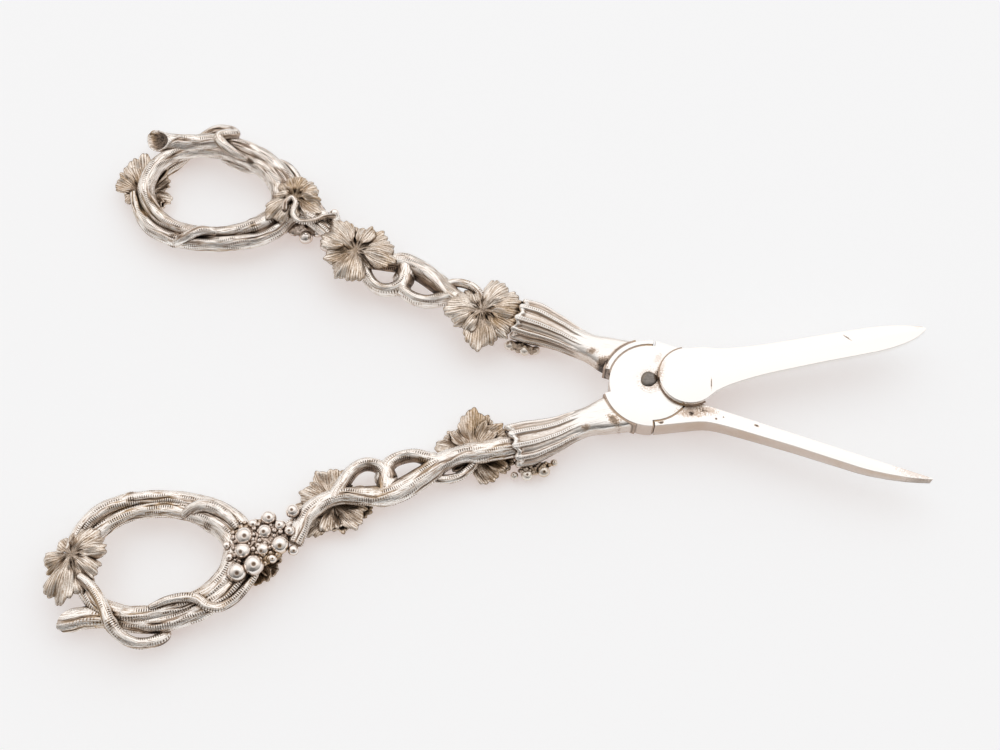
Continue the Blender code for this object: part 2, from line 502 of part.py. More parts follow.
def add_handle(side, arm, grape_shares):
    """One cast handle: shank, stem, ring and what grows on them, each seated with the clearance."""
    add_shank(side + "_shank", arm)

    stem = stem_route()
    add_object(side + "_stem", sweep(stem, 8), arm, CAST_SILVER)
    stem_space = add_object(side + "_stem_space", sweep(stem, 8, grow=CLEARANCE), arm)
    first_arch, second_arch = [eyelet_route(*arch) for arch in zip(EYELET_SHARES, EYELET_DEPTH_SHARES)]
    eyelets = add_object(side + "_eyelet_branch", sweep(first_arch, 6), arm, CAST_SILVER)
    fuse(eyelets, [add_object(side + "_eyelet_form", sweep(second_arch, 6), arm)])
    cut(eyelets, [stem_space])
    eyelet_spaces = [add_object(f"{side}_eyelet_space_{number}", sweep(arch, 6, grow=CLEARANCE), arm)
                     for number, arch in enumerate((first_arch, second_arch))]
    shoot = smooth_path(STEM_SHOOT_SHARES, 2)
    shoot = [(*stem_place(along, across, STEM_SHOOT_LIFT_SHARE), SHOOT_RADIUS, SHOOT_RADIUS)
             for along, across in shoot]
    stem_shoot = add_object(side + "_stem_shoot", sweep(shoot, 6), arm, CAST_SILVER)
    cut(stem_shoot, [stem_space])
    shoot_space = add_object(side + "_stem_shoot_space", sweep(shoot, 6, grow=CLEARANCE), arm)

    inner = ring_route(INNER_RING_SHARES, BRANCH_RADIUS, 2, closed=True)
    outer = ring_route(OUTER_RING_SHARES, BRANCH_RADIUS, 2)
    lower = ring_route(LOWER_RING_SHARES, BRANCH_RADIUS, 2)
    vine = add_object(side + "_ring_vine", sweep(inner, 6, closed=True), arm, CAST_SILVER)
    fuse(vine, [add_object(side + "_outer_form", sweep(outer, 6), arm),
                add_object(side + "_lower_form", sweep(lower, 6), arm)])
    cut(vine, [stem_space])
    vine_spaces = [add_object(side + "_inner_space", sweep(inner, 6, closed=True, grow=CLEARANCE), arm),
                   add_object(side + "_outer_space", sweep(outer, 6, grow=CLEARANCE), arm),
                   add_object(side + "_lower_space", sweep(lower, 6, grow=CLEARANCE), arm)]
    tendril = ring_route(END_TENDRIL_SHARES, TENDRIL_RADIUS, 2)
    end_tendril = add_object(side + "_end_tendril", sweep(tendril, 6), arm, CAST_SILVER)
    cut(end_tendril, vine_spaces)
    tendril_space = add_object(side + "_tendril_space", sweep(tendril, 6, grow=CLEARANCE), arm)
    shoot_spaces = []
    for name, shares in RING_SHOOT_SHARES.items():
        route = ring_route(shares, TENDRIL_RADIUS, 2)
        cut(add_object(side + name, sweep(route, 6), arm, CAST_SILVER), vine_spaces)
        shoot_spaces.append(add_object(side + name + "_space", sweep(route, 6, grow=CLEARANCE), arm))

    back = -STEM_RADIUS - CLEARANCE - LEAF_THICKNESS / 2
    front = BRANCH_RADIUS + CLEARANCE + LEAF_THICKNESS
    bend = LEAF_THICKNESS
    end_leaf = (ring_place(*END_LEAF_CENTRE_SHARES), END_LEAF_LOBE_SHARES, END_LEAF_REACH, front, -bend)
    cut(add_object(side + "_end_leaf", leaf_shape(*end_leaf), arm, CHASED_SILVER),
        vine_spaces + [tendril_space])
    junction_leaf = (bunch_place(*JUNCTION_LEAF_CENTRE_SHARES), JUNCTION_LEAF_LOBE_SHARES,
                     JUNCTION_LEAF_REACH, back, bend / 2)
    cut(add_object(side + "_junction_leaf", leaf_shape(*junction_leaf), arm, CHASED_SILVER),
        vine_spaces + [stem_space] + shoot_spaces[:1])
    stem_leaf = (stem_place(*STEM_LEAF_CENTRE_SHARES), STEM_LEAF_LOBE_SHARES, STEM_LEAF_REACH, back, bend)
    junction_form = leaf_shape(*junction_leaf, grow=CLEARANCE)
    junction_space = add_object(side + "_junction_leaf_space", junction_form, arm)
    cut(add_object(side + "_stem_leaf", leaf_shape(*stem_leaf), arm, CHASED_SILVER),
        [stem_space, junction_space] + vine_spaces + eyelet_spaces[:1])
    calyx_leaf = (stem_place(*CALYX_LEAF_CENTRE_SHARES), CALYX_LEAF_LOBE_SHARES, CALYX_LEAF_REACH, back,
                  bend)
    cut(add_object(side + "_calyx_leaf", leaf_shape(*calyx_leaf), arm, CHASED_SILVER),
        [stem_space, shoot_space, shank_space(side, arm)] + eyelet_spaces[1:])
    stem_leaf_space = add_object(side + "_stem_leaf_space", leaf_shape(*stem_leaf, grow=CLEARANCE), arm)
    petiole = add_object(side + "_petiole", sweep(petiole_route(), 6), arm, CAST_SILVER)
    cut(petiole, [junction_space, stem_leaf_space, stem_space])

    bunch = add_bunch(side + "_grape_bunch", arm)
    cut(bunch, vine_spaces + [stem_space, junction_space, stem_leaf_space] + shoot_spaces)
    calyx_grapes = add_calyx_grapes(side + "_calyx_grapes", arm, grape_shares)
    calyx_leaf_space = add_object(side + "_calyx_leaf_space", leaf_shape(*calyx_leaf, grow=CLEARANCE), arm)
    cut(calyx_grapes, [bpy.data.objects[side + "_shank_space"], calyx_leaf_space])


def shank_space(side, arm):
    """A plain tube round the calyx, which the leaf and the grapes behind it are cut by."""
    route = [(-reach * CALYX_REACH, -drop * CALYX_DROP, 0, width * CALYX_HALF_WIDTH,
              depth * CALYX_HALF_DEPTH)
             for reach, drop, width, depth, square, flute in smooth_path(SHANK_SHARES[:5], 2)]
    return add_object(side + "_shank_space", sweep(route, 24, grow=CLEARANCE), arm)


def add_rivet(name, arm):
    """Plain shaft with a head flush with the joint's back and one sunk in its front."""
    head_low = HALF_JOINT - RIVET_SINK - RIVET_HEAD_DEPTH
    shaft = cylinder(RIVET_RADIUS, -HALF_JOINT + RIVET_SINK + RIVET_HEAD_DEPTH / 2,
                     HALF_JOINT - RIVET_HEAD_DEPTH / 2, RIVET_POINTS)
    rivet = add_object(name, shaft, arm, RIVET_STEEL)
    heads = {"back": (head_low, HALF_JOINT), "front": (-head_low - RIVET_HEAD_DEPTH, -head_low)}
    for place, (low, high) in heads.items():
        head = cylinder(RIVET_HEAD_RADIUS, low, high, RIVET_POINTS)
        fuse(rivet, [add_object(f"{name}_{place}_head_form", head, arm)])


def main():
    clear_scene()
    front_arm = bpy.data.objects.new("front_arm", None)
    rear_arm = bpy.data.objects.new("rear_arm", None)
    for arm in (front_arm, rear_arm):
        bpy.context.collection.objects.link(arm)
    middle = Matrix.Translation((0, 0, HALF_JOINT))
    front_arm.matrix_world = middle @ Matrix.Rotation(OPEN_ANGLE / 2, 4, "Z")
    rear_arm.matrix_world = middle @ Matrix.Rotation(-OPEN_ANGLE / 2, 4, "Z") @ Matrix.Rotation(pi, 4, "X")
    add_bar("front_blade_bar", front_arm, FRONT_BAR_SHARES, 1)
    add_bar("rear_blade_bar", rear_arm, REAR_OUTER_SHARES, -1)
    add_cutting_plate("front_cutting_plate", front_arm)
    add_rivet("pivot_rivet", rear_arm)
    add_handle("front", front_arm, FRONT_CALYX_GRAPE_SHARES)
    add_handle("rear", rear_arm, REAR_CALYX_GRAPE_SHARES)


main()
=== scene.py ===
import bpy
import json
import numpy as np
from math import pi, radians
from mathutils import Matrix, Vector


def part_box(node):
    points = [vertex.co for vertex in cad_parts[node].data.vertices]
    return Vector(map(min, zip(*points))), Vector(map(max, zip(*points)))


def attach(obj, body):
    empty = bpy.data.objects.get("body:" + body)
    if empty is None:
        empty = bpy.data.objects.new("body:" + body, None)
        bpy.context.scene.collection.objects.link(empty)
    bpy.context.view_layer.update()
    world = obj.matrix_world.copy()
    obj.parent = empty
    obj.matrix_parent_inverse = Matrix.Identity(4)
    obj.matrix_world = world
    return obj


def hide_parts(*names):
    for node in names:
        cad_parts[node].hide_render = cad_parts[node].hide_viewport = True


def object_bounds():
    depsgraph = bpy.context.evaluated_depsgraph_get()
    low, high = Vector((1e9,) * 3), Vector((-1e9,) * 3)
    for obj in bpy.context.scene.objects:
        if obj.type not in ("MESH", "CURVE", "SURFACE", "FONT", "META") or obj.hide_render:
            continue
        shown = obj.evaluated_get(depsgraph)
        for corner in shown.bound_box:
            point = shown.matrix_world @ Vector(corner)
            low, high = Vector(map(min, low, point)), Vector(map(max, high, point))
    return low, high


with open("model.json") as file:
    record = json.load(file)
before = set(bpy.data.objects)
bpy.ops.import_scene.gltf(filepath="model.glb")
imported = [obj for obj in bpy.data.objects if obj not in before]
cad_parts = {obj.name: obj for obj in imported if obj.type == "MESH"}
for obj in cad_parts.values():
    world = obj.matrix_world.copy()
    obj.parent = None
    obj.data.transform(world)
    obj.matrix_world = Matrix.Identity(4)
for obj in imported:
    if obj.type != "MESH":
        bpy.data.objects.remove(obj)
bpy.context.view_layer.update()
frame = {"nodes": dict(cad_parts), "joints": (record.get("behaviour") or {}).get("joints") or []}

# The vine stem
# Each handle's thick main branch, a thin one that arches twice beside it, and a shoot. They are cast
# in sterling silver, then chased: furrows wander along the bark and rows of short graver's cuts run
# beside them. The cut ends are dished.

# Both handles are the same casting, turned over on the rear arm. A piece is modelled once, in
# millimetres, as it lies on an arm when the shears are shut, and is then set on the arms.
MM = 0.001
hinge = frame["joints"][0]
half_open = radians(hinge["range_deg"][0]) / -2
middle = Matrix.Translation(hinge["pos_m"])
ARM_PLACES = {
    "front": middle @ Matrix.Rotation(half_open, 4, "Z"),
    "rear": middle @ Matrix.Rotation(-half_open, 4, "Z") @ Matrix.Rotation(pi, 4, "X"),
}


def set_on_arms(piece, node, material, arms=("front", "rear")):
    """Sets a copy of a finished piece on each arm, in place of that arm's CAD node."""
    piece.data.materials.clear()
    piece.data.materials.append(material)
    for arm in arms:
        copy = piece.copy()
        copy.data = piece.data.copy()
        copy.data.transform(ARM_PLACES[arm] @ Matrix.Scale(MM, 4))
        copy.name = f"{arm}_{piece.name}"
        bpy.context.collection.objects.link(copy)
        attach(copy, arm + "_arm")
        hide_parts(f"{arm}_{node}")
    bpy.data.objects.remove(piece)


STEP_MM = 0.17
CURVE_STEPS = 24


def mark(piece, attribute, values, kind="FLOAT"):
    """Keeps a value for each point of a piece, which its finish reads."""
    if attribute not in piece.data.attributes:
        piece.data.attributes.new(attribute, kind, "POINT")
    field = "vector" if kind == "FLOAT_VECTOR" else "value"
    piece.data.attributes[attribute].data.foreach_set(field, np.ravel(values))


def rolled_sheet(name, places, recess, grain=None, cuts=None):
    """A flat grid whose points are moved to a table of places; seams and poles are then closed."""
    rows, columns = recess.shape
    bpy.ops.mesh.primitive_grid_add(x_subdivisions=rows - 1, y_subdivisions=columns - 1, size=1)
    piece = bpy.context.active_object
    piece.name = name
    flat = np.empty(len(piece.data.vertices) * 3)
    piece.data.vertices.foreach_get("co", flat)
    flat = flat.reshape(-1, 3) + 0.5
    row = np.rint(flat[:, 0] * (rows - 1)).astype(int)
    column = np.rint(flat[:, 1] * (columns - 1)).astype(int)
    piece.data.vertices.foreach_set("co", places[row, column].ravel())
    mark(piece, "recess", recess[row, column])
    mark(piece, "grain", (places if grain is None else grain)[row, column], "FLOAT_VECTOR")
    mark(piece, "cuts", np.zeros(len(row)) if cuts is None else cuts[row, column])
    bpy.ops.object.mode_set(mode="EDIT")
    bpy.ops.mesh.select_all(action="SELECT")
    bpy.ops.mesh.remove_doubles(threshold=0.0005)
    bpy.ops.mesh.normals_make_consistent(inside=False)
    bpy.ops.object.mode_set(mode="OBJECT")
    bpy.ops.object.shade_smooth()
    return piece


def pick(pieces):
    """Selects these pieces and no others; the first one is active."""
    bpy.ops.object.select_all(action="DESELECT")
    for piece in pieces:
        piece.select_set(True)
    bpy.context.view_layer.objects.active = pieces[0]


def join(name, pieces):
    pick(pieces)
    bpy.ops.object.join()
    pieces[0].name = name
    return pieces[0]


def even_route(points, step, closed=False):
    """Even stations, and their distances, on a smooth curve through given rows of numbers."""
    knots = np.array(points, float)
    if closed:
        knots = np.vstack([knots[-1:], knots, knots[:2]])
    else:
        knots = np.vstack([knots[:1], knots, knots[-1:]])
    t = np.linspace(0, 1, CURVE_STEPS, endpoint=False)[:, None]
    fine = np.vstack([(b * 2 + (c - a) * t + (a * 2 - b * 5 + c * 4 - d) * t ** 2
                       + (b * 3 - a - c * 3 + d) * t ** 3) / 2
                      for a, b, c, d in zip(knots, knots[1:], knots[2:], knots[3:])] + [knots[-2:-1]])
    walked = np.append(0, np.cumsum(np.linalg.norm(np.diff(fine[:, :3], axis=0), axis=1)))
    distance = np.linspace(0, walked[-1], round(walked[-1] / step) + 1)
    return np.column_stack([np.interp(distance, walked, column) for column in fine.T]), distance


def route_frames(centre, closed):
    """Unit vectors along, across and up at each station; up starts at the casting's front."""
    along = np.gradient(centre, axis=0)
    if closed:
        along[0] = along[-1] = centre[1] - centre[-2]
    along /= np.linalg.norm(along, axis=1)[:, None]
    up = np.tile([0.0, 0.0, 1.0], (len(centre), 1))
    for station in range(len(centre)):
        if station and not closed:
            up[station] = up[station - 1]
        up[station] -= along[station] * along[station].dot(up[station])
        up[station] /= np.linalg.norm(up[station])
    return along, np.cross(up, along), up


BARK_SWAY_MM = 16.0
BARK_RIDGE = 0.05
FURROW_WIDTHS_MM = (0.13, 0.34)
CUT_ROW_OFFSET_MM, CUT_ROW_WIDTHS_MM = 0.62, (0.22, 0.36)
KNOT_LENGTH_MM, KNOT_HEIGHT_MM = 0.8, 0.2


def sway(random, share, cycles):
    """A slow wave of about one unit that is the same at both ends of a branch."""
    return sum(np.sin(2 * pi * (share * cycles * k + random.random())) / k for k in (1, 2, 3)) / 1.8


def chase_bark(distance, radius, around, furrows, depth, seed, knots):
    """Relief in millimetres, how hollow each point is, and where rows of cuts run, on a branch."""
    random = np.random.default_rng(seed)
    share = (distance / distance[-1])[:, None]
    cycles = max(1, round(distance[-1] / BARK_SWAY_MM))
    relief = BARK_RIDGE * radius[:, None] * np.sin(3 * around + 2 * sway(random, share, cycles))
    recess, cuts = np.zeros_like(relief), np.zeros_like(relief)
    # Each furrow wanders round the branch and fades in and out, and cuts run here and there beside it.
    for number in range(furrows):
        turn = 2 * pi * (number + 0.5 * random.random()) / furrows + 0.28 * sway(random, share, cycles)
        off = ((around - turn + pi) % (2 * pi) - pi) * radius[:, None]
        furrow = np.clip(0.55 + 0.8 * sway(random, share, cycles), 0, 1)
        furrow = furrow * np.exp(-(off / random.uniform(*FURROW_WIDTHS_MM)) ** 2)
        relief -= depth * furrow
        recess = np.maximum(recess, furrow)
        for side in (-1, 1):
            row = np.exp(-((off + side * CUT_ROW_OFFSET_MM) / random.uniform(*CUT_ROW_WIDTHS_MM)) ** 4)
            cuts = np.maximum(cuts, row * np.clip(0.62 + 1.6 * sway(random, share, 2 * cycles), 0, 1))
    for knot in knots:
        swelling = np.exp(-((distance - knot * distance[-1]) / KNOT_LENGTH_MM) ** 2)[:, None]
        relief += KNOT_HEIGHT_MM * swelling * (0.7 + 0.3 * np.sin(5 * around))
        cuts = np.maximum(cuts, swelling * np.clip(1.6 * np.sin(4 * around + seed), 0, 1))
        recess = np.maximum(recess, 0.5 * swelling * np.clip(1.6 * np.sin(7 * around + seed), 0, 1))
    return relief, recess, cuts


# The ends of branches, as rows of (shift outwards, width), both in shares of the half width.
HOLLOW_END = ((0.03, 0.99), (0.05, 0.95), (0.0, 0.88), (-0.2, 0.82), (-0.5, 0.74), (-0.75, 0.58),
              (-0.9, 0.34), (-0.95, 0.0))
SAWN_END = ((0.06, 0.97), (0.1, 0.88), (0.02, 0.74), (-0.16, 0.55), (-0.24, 0.28), (-0.26, 0.0))
ROUND_END = ((0.35, 0.93), (0.65, 0.75), (0.85, 0.5), (0.96, 0.25), (1.0, 0.0))
FINE_TIP = ((0.8, 0.85), (1.6, 0.62), (2.2, 0.38), (2.6, 0.18), (2.7, 0.0))
# How far the first end's slant reaches, and how far apart two branches lie in the grain's pattern.
FIRST_END_MM, GRAIN_SHIFT_MM = 6.0, 50


def branch(name, points, sides, furrows, depth, seed, closed=False, ends=(ROUND_END, ROUND_END), knots=(),
           slant=(0.0, 0.0)):
    """A chased branch along rows of (x, y, z, half width, half depth); slant cuts its first end askew."""
    route, distance = even_route(points, STEP_MM, closed)
    centre, half_width, half_depth = route[:, :3], route[:, 3], route[:, 4]
    along, across, up = route_frames(centre, closed)
    around = np.linspace(0, 2 * pi, sides + 1)[None, :]
    relief, recess, cuts = chase_bark(distance, half_width, around, furrows, depth, seed, knots)
    # An end is some more rings at its station, each with its own shift and width.
    first, last = ((), ()) if closed else ends
    station = np.array([0] * len(first) + list(range(len(route))) + [len(route) - 1] * len(last))
    shift = np.array([-s for s, _ in reversed(first)] + [0] * len(route) + [s for s, _ in last])
    scale = np.array([w for _, w in reversed(first)] + [1] * len(route) + [w for _, w in last])
    wide = scale[:, None] * (half_width[station, None] + relief[station]) * np.cos(around)
    high = scale[:, None] * (half_depth[station, None] + relief[station]) * np.sin(around)
    near = np.clip(1 - distance[station] / FIRST_END_MM, 0, 1)[:, None]
    forward = (shift * half_width[station])[:, None] + near * (slant[0] * wide + slant[1] * high)
    places = centre[station][:, None] + along[station][:, None] * forward[:, :, None]
    places = places + across[station][:, None] * wide[:, :, None] + up[station][:, None] * high[:, :, None]
    recess = np.maximum(recess[station], np.clip(5.0 * (0.9 - scale), 0, 1)[:, None])
    run = distance[station] + shift * half_width[station] + GRAIN_SHIFT_MM * seed
    grain = np.dstack([run[:, None] + 0 * wide, wide, high])
    return rolled_sheet(name, places, recess, grain, cuts[station] * (scale > 0.99)[:, None] * (1 - near))


def bark_run(piece):
    """How far along and across its branch each point of a piece lies, in millimetres."""
    run = np.empty(3 * len(piece.data.vertices))
    piece.data.attributes["grain"].data.foreach_get("vector", run)
    return run[0::3], run[1::3]


def linear(hex_colour):
    """An sRGB hex colour as linear red, green, blue and alpha."""
    channels = [int(hex_colour[place:place + 2], 16) / 255 for place in (0, 2, 4)]
    return (*[c / 12.92 if c <= 0.04045 else ((c + 0.055) / 1.055) ** 2.4 for c in channels], 1.0)


def adder(owner):
    """A function that adds a shader node to a material or world and gives its outputs."""
    def add(kind, inputs, **settings):
        item = owner.node_tree.nodes.new("ShaderNode" + kind)
        for name, value in settings.items():
            setattr(item, name, value)
        for name, value in inputs.items():
            if isinstance(value, bpy.types.NodeSocket):
                owner.node_tree.links.new(value, item.inputs[name])
            else:
                item.inputs[name].default_value = value
        return item.outputs
    return add


def reckon(add, operation, *values):
    return add("Math", dict(enumerate(values)), operation=operation)[0]


def ramp(add, value, low, high, start=0.0, end=1.0, kind="LINEAR"):
    """Turns a value that runs from low to high into one that runs from start to end."""
    limits = {"Value": value, "From Min": low, "From Max": high, "To Min": start, "To Max": end}
    return add("MapRange", limits, interpolation_type=kind)["Result"]


# Silver is bright and a little warm where a cloth reaches. Sulphide tarnish, yellow where thin and
# grey-brown where thick, stays in every hollow. The cuts and the leaves' lines are drawn a little
# coarser than the real ones, so that they show.
TARNISH_REACH_MM = 1.3
PATCH_SIZE_MM = 7.0
GRAIN_SIZE_MM, GRAIN_RELIEF_MM = 0.3, 0.05
STREAK_RELIEF_MM = 0.13
CUT_PITCH_MM, CUT_DEPTH_MM, CUT_WAVER, LINE_WAVER = 0.43, 0.12, 3.0, 5.0
STAIN_AND_SHADE_RAGGEDNESS = 1.5
GOLDEN_TARNISH = "D0AC7C"


def chased_marks(add, speck, streak_mm, line_pitch_mm):
    """Fine streaks along a branch or rib, and the graver's cuts across it; a leaf has lines as well."""
    run = add("Attribute", {}, attribute_name="grain")["Vector"]
    fine = (1 / streak_mm[0], 1 / streak_mm[1], 1 / streak_mm[1])
    fine = add("VectorMath", {0: run, 1: fine}, operation="MULTIPLY")["Vector"]
    streak = add("TexNoise", {"Vector": fine, "Scale": 1.0, "Detail": 3.0, "Roughness": 0.6})["Fac"]
    axes = add("SeparateXYZ", {"Vector": run})
    wave = reckon(add, "MULTIPLY", streak, CUT_WAVER)
    wave = reckon(add, "MULTIPLY_ADD", axes["X"], 2 * pi / CUT_PITCH_MM, wave)
    wave = ramp(add, reckon(add, "SINE", wave), 0.0, 0.85, kind="SMOOTHSTEP")
    rows = add("Attribute", {}, attribute_name="cuts")["Fac"]
    cuts = reckon(add, "MULTIPLY", wave, rows)
    if line_pitch_mm:
        line = reckon(add, "MULTIPLY", axes["Y"], 2 * pi / line_pitch_mm)
        line = reckon(add, "MULTIPLY_ADD", streak, LINE_WAVER, line)
        line = ramp(add, reckon(add, "SINE", line), 0.1, 1.0, end=0.35)
        line = reckon(add, "MULTIPLY", line, ramp(add, speck, 0.35, 0.6, start=0.35))
        cuts = reckon(add, "MAXIMUM", cuts, line)
    return streak, cuts


def stain_and_shade_patch(add, places, speck, x, y, half_length, half_width, turn):
    """A ragged oval, for a set stain and also for a patch of painted shade, at a place in millimetres and
    turned by degrees, through the metal's depth.
    """
    off = add("VectorMath", {0: places, 1: (x * MM, y * MM, 0)}, operation="SUBTRACT")["Vector"]
    off = add("VectorRotate", {"Vector": off, "Angle": radians(-turn)}, rotation_type="Z_AXIS")["Vector"]
    shape = (1 / (half_length * MM), 1 / (half_width * MM), 0)
    off = add("VectorMath", {0: off, 1: shape}, operation="MULTIPLY")["Vector"]
    off = add("VectorMath", {0: off}, operation="LENGTH")["Value"]
    off = reckon(add, "MULTIPLY_ADD", speck, -STAIN_AND_SHADE_RAGGEDNESS, off)
    return ramp(add, off, 0.3, -0.35)


def silver(name, bright, thin, thick, finish, hollow, shelter, patches, level, grain, golden_film=0.8,
           streaks=0.0, streak_mm=None, streak_relief=0.0, line_pitch_mm=0.0, sides=0.0, spots=()):
    """Silver whose tarnish grows with an engraved hollow, with shelter from the cloth and by chance.

    bright is the bare metal's colour, thin and thick are the tarnish's, and finish is the roughness
    of both. The other numbers say how much each cause adds to the tarnish or to the relief. sides
    adds painted shade to upright faces, and spots adds set stains and one patch of painted shade,
    all drawn in the tarnish's colours.
    """
    material = bpy.data.materials.new(name)
    material.use_nodes = True
    shader = material.node_tree.nodes["Principled BSDF"]
    add = adder(material)
    places = add("TexCoord", {})["Object"]
    patch = add("TexNoise", {"Vector": places, "Scale": 1 / (PATCH_SIZE_MM * MM), "Detail": 5.0})["Fac"]
    speck = add("TexNoise", {"Vector": places, "Scale": 1 / (GRAIN_SIZE_MM * MM), "Detail": 3.0})["Fac"]
    open_air = add("AmbientOcclusion", {"Distance": TARNISH_REACH_MM * MM}, samples=8)["AO"]
    causes = [(add("Attribute", {}, attribute_name="recess")["Fac"], hollow),
              (ramp(add, open_air, 0.8, 0.25), shelter),
              (reckon(add, "SUBTRACT", patch, 0.5), patches),
              (reckon(add, "SUBTRACT", speck, 0.5), patches / 2)]
    relief = {"Height": speck, "Strength": grain, "Distance": GRAIN_RELIEF_MM * MM}
    relief = add("Bump", relief)["Normal"]
    # Chased work adds streaks and cuts, and set stains add their own tarnish. Upright sides and one
    # spot add painted shade instead.
    if streaks:
        streak, cuts = chased_marks(add, speck, streak_mm, line_pitch_mm)
        causes += [(ramp(add, streak, 0.52, 0.35), streaks), (cuts, 1.0)]
        relief = {"Height": streak, "Strength": streak_relief, "Distance": STREAK_RELIEF_MM * MM,
                  "Normal": relief}
        relief = add("Bump", relief)["Normal"]
        relief = {"Height": cuts, "Strength": 0.8, "Distance": CUT_DEPTH_MM * MM, "Normal": relief}
        relief = add("Bump", relief, invert=True)["Normal"]
    # Painted shade: faces that stand upright are drawn darker and duller than flat ones.
    if sides:
        facing = add("SeparateXYZ", {"Vector": add("NewGeometry", {})["Normal"]})["Z"]
        causes.append((ramp(add, reckon(add, "ABSOLUTE", facing), 0.75, 0.15), sides))
    causes += [(stain_and_shade_patch(add, places, speck, *spot[:5]), spot[5]) for spot in spots]
    # Tarnish and painted shade are summed into one amount, which the lines below turn into colour and
    # shine.
    total = level
    for cause, share in causes:
        total = reckon(add, "MULTIPLY_ADD", cause, share, total)
    # Bare metal turns to the thin film and then to the thick one, and loses its shine on the way.
    tarnish_and_shade = add("Clamp", {"Value": total})["Result"]
    early = ramp(add, tarnish_and_shade, 0.0, 0.45)
    late = ramp(add, tarnish_and_shade, 0.35, 1.0)
    golden = ramp(add, patch, 0.5, 0.66, end=golden_film)
    film = {"Factor": golden, "A": linear(thin), "B": linear(GOLDEN_TARNISH)}
    film = add("Mix", film, data_type="RGBA")["Result"]
    colour = add("Mix", {"Factor": early, "A": linear(bright), "B": film}, data_type="RGBA")["Result"]
    colour = add("Mix", {"Factor": late, "A": colour, "B": linear(thick)}, data_type="RGBA")["Result"]
    gloss = ramp(add, tarnish_and_shade, 0.0, 1.0, *finish)
    metal = ramp(add, tarnish_and_shade, 0.3, 1.0, start=1.0, end=0.6)
    sources = {"Base Color": colour, "Roughness": gloss, "Metallic": metal, "Normal": relief}
    for socket, source in sources.items():
        material.node_tree.links.new(source, shader.inputs[socket])
    return material


# Cast and chased: soft bright ridges, with streaks of brown tarnish that follow the bark.
cast_silver = silver("cast_and_chased_silver", "FFFAF4", "C9B09A", "352B24", (0.17, 0.5),
                     hollow=0.95, shelter=1.05, patches=0.45, level=-0.17, grain=0.4, streaks=0.72,
                     streak_mm=(2.4, 0.18), streak_relief=0.8)

CALYX_REACH, CALYX_DROP = 30.0, 6.4
STEM_LENGTH, STEM_SWAY, STEM_RADIUS = 43.0, 5.0, 1.9
STEM_SHARES = (
    (-0.05, -0.04, 0.0, 0.95), (0.105, -0.01, 0.0, 1.0), (0.198, 0.04, 0.0, 0.92),
    (0.302, -0.1, 0.0, 0.92), (0.395, -0.5, 0.0, 0.98), (0.488, -0.82, 0.0, 1.02),
    (0.581, -0.97, 0.0, 1.0), (0.674, -0.81, 0.05, 0.85), (0.763, -0.63, 0.1, 0.74),
    (0.844, -0.7, 0.15, 0.76), (0.912, -0.98, 0.2, 0.82), (0.96, -1.43, 0.2, 0.8),
    (1.006, -2.14, 0.2, 0.68))


def stem_place(along, across, up=0.0):
    """A place beside the stem, in shares of its length, its sway and its radius."""
    return (-CALYX_REACH - along * STEM_LENGTH, -CALYX_DROP + across * STEM_SWAY, up * STEM_RADIUS)


def round_route(place, shares, radius):
    """Rows for a round branch, from rows of (along, across, up, share of the radius)."""
    return [(*place(along, across, up), size * radius, size * radius) for along, across, up, size in shares]


STEM_FULLNESS, STEM_SEED = 1.16, 3
BESIDE_ARCHES_MM, BESIDE_FADE_MM = (15, 37), 3
stem = branch("main_stem", round_route(stem_place, STEM_SHARES, STEM_RADIUS * STEM_FULLNESS), sides=76,
              furrows=5, depth=0.12, seed=STEM_SEED, ends=(SAWN_END, SAWN_END))
# Painted shade: the side of the stem that faces the arches, inside the eyelets, is drawn darker on top of
# its chased tarnish.
walked, across = bark_run(stem)
walked = walked - GRAIN_SHIFT_MM * STEM_SEED
hollows = np.empty(len(walked))
stem.data.attributes["recess"].data.foreach_get("value", hollows)
beside = np.clip((walked - BESIDE_ARCHES_MM[0]) / BESIDE_FADE_MM, 0, 1)
beside *= np.clip((BESIDE_ARCHES_MM[1] - walked) / BESIDE_FADE_MM, 0, 1)
beside *= 0.75 * np.clip(-1.5 * across / STEM_RADIUS - 0.45, 0, 1)
mark(stem, "recess", np.maximum(hollows, beside))
set_on_arms(stem, "stem", cast_silver)

EYELET_WIDTH, EYELET_DEPTH = 2.7, 3.9
EYELET_SHARES = (((0.805, -0.66, 1.1), (0.763, -0.24, 1.1), (0.727, 0.1, 1.0), (0.685, 0.36, 0.95),
                  (0.64, 0.45, 0.95), (0.592, 0.31, 1.0), (0.563, -0.015, 1.2), (0.56, -0.475, 1.6),
                  (0.565, -0.75, 1.8)),
                 ((0.56, -0.235, 1.7), (0.551, 0.12, 1.25), (0.517, 0.35, 1.0), (0.465, 0.45, 0.95),
                  (0.409, 0.38, 0.95), (0.36, 0.14, 1.1), (0.321, -0.05, 1.2)))
arches = [branch("arch", [(*stem_place(along, across), size * EYELET_WIDTH / 2, EYELET_DEPTH / 2)
                          for along, across, size in shares],
                 sides=52, furrows=4, depth=0.12, seed=11 + number)
          for number, shares in enumerate(EYELET_SHARES)]
# Painted shade: the inner side of each arch, facing its eyelet, is drawn dark in place of its chased
# tarnish.
for arch in arches:
    mark(arch, "recess", 0.95 * np.clip(-1.8 * bark_run(arch)[1] / EYELET_WIDTH - 0.2, 0, 1))
set_on_arms(join("arched_shoot", arches), "eyelet_branch", cast_silver)

SHOOT_RADIUS = 0.95
SHOOT_SHARES = ((0.35, -0.55), (0.325, -0.69), (0.285, -0.77), (0.233, -0.73), (0.186, -0.52),
                (0.15, -0.2))
shoot = [(*stem_place(*spot, -0.35), SHOOT_RADIUS, SHOOT_RADIUS) for spot in SHOOT_SHARES]
shoot = branch("thin_shoot", shoot, sides=24, furrows=3, depth=0.1, seed=17)
set_on_arms(shoot, "stem_shoot", cast_silver)

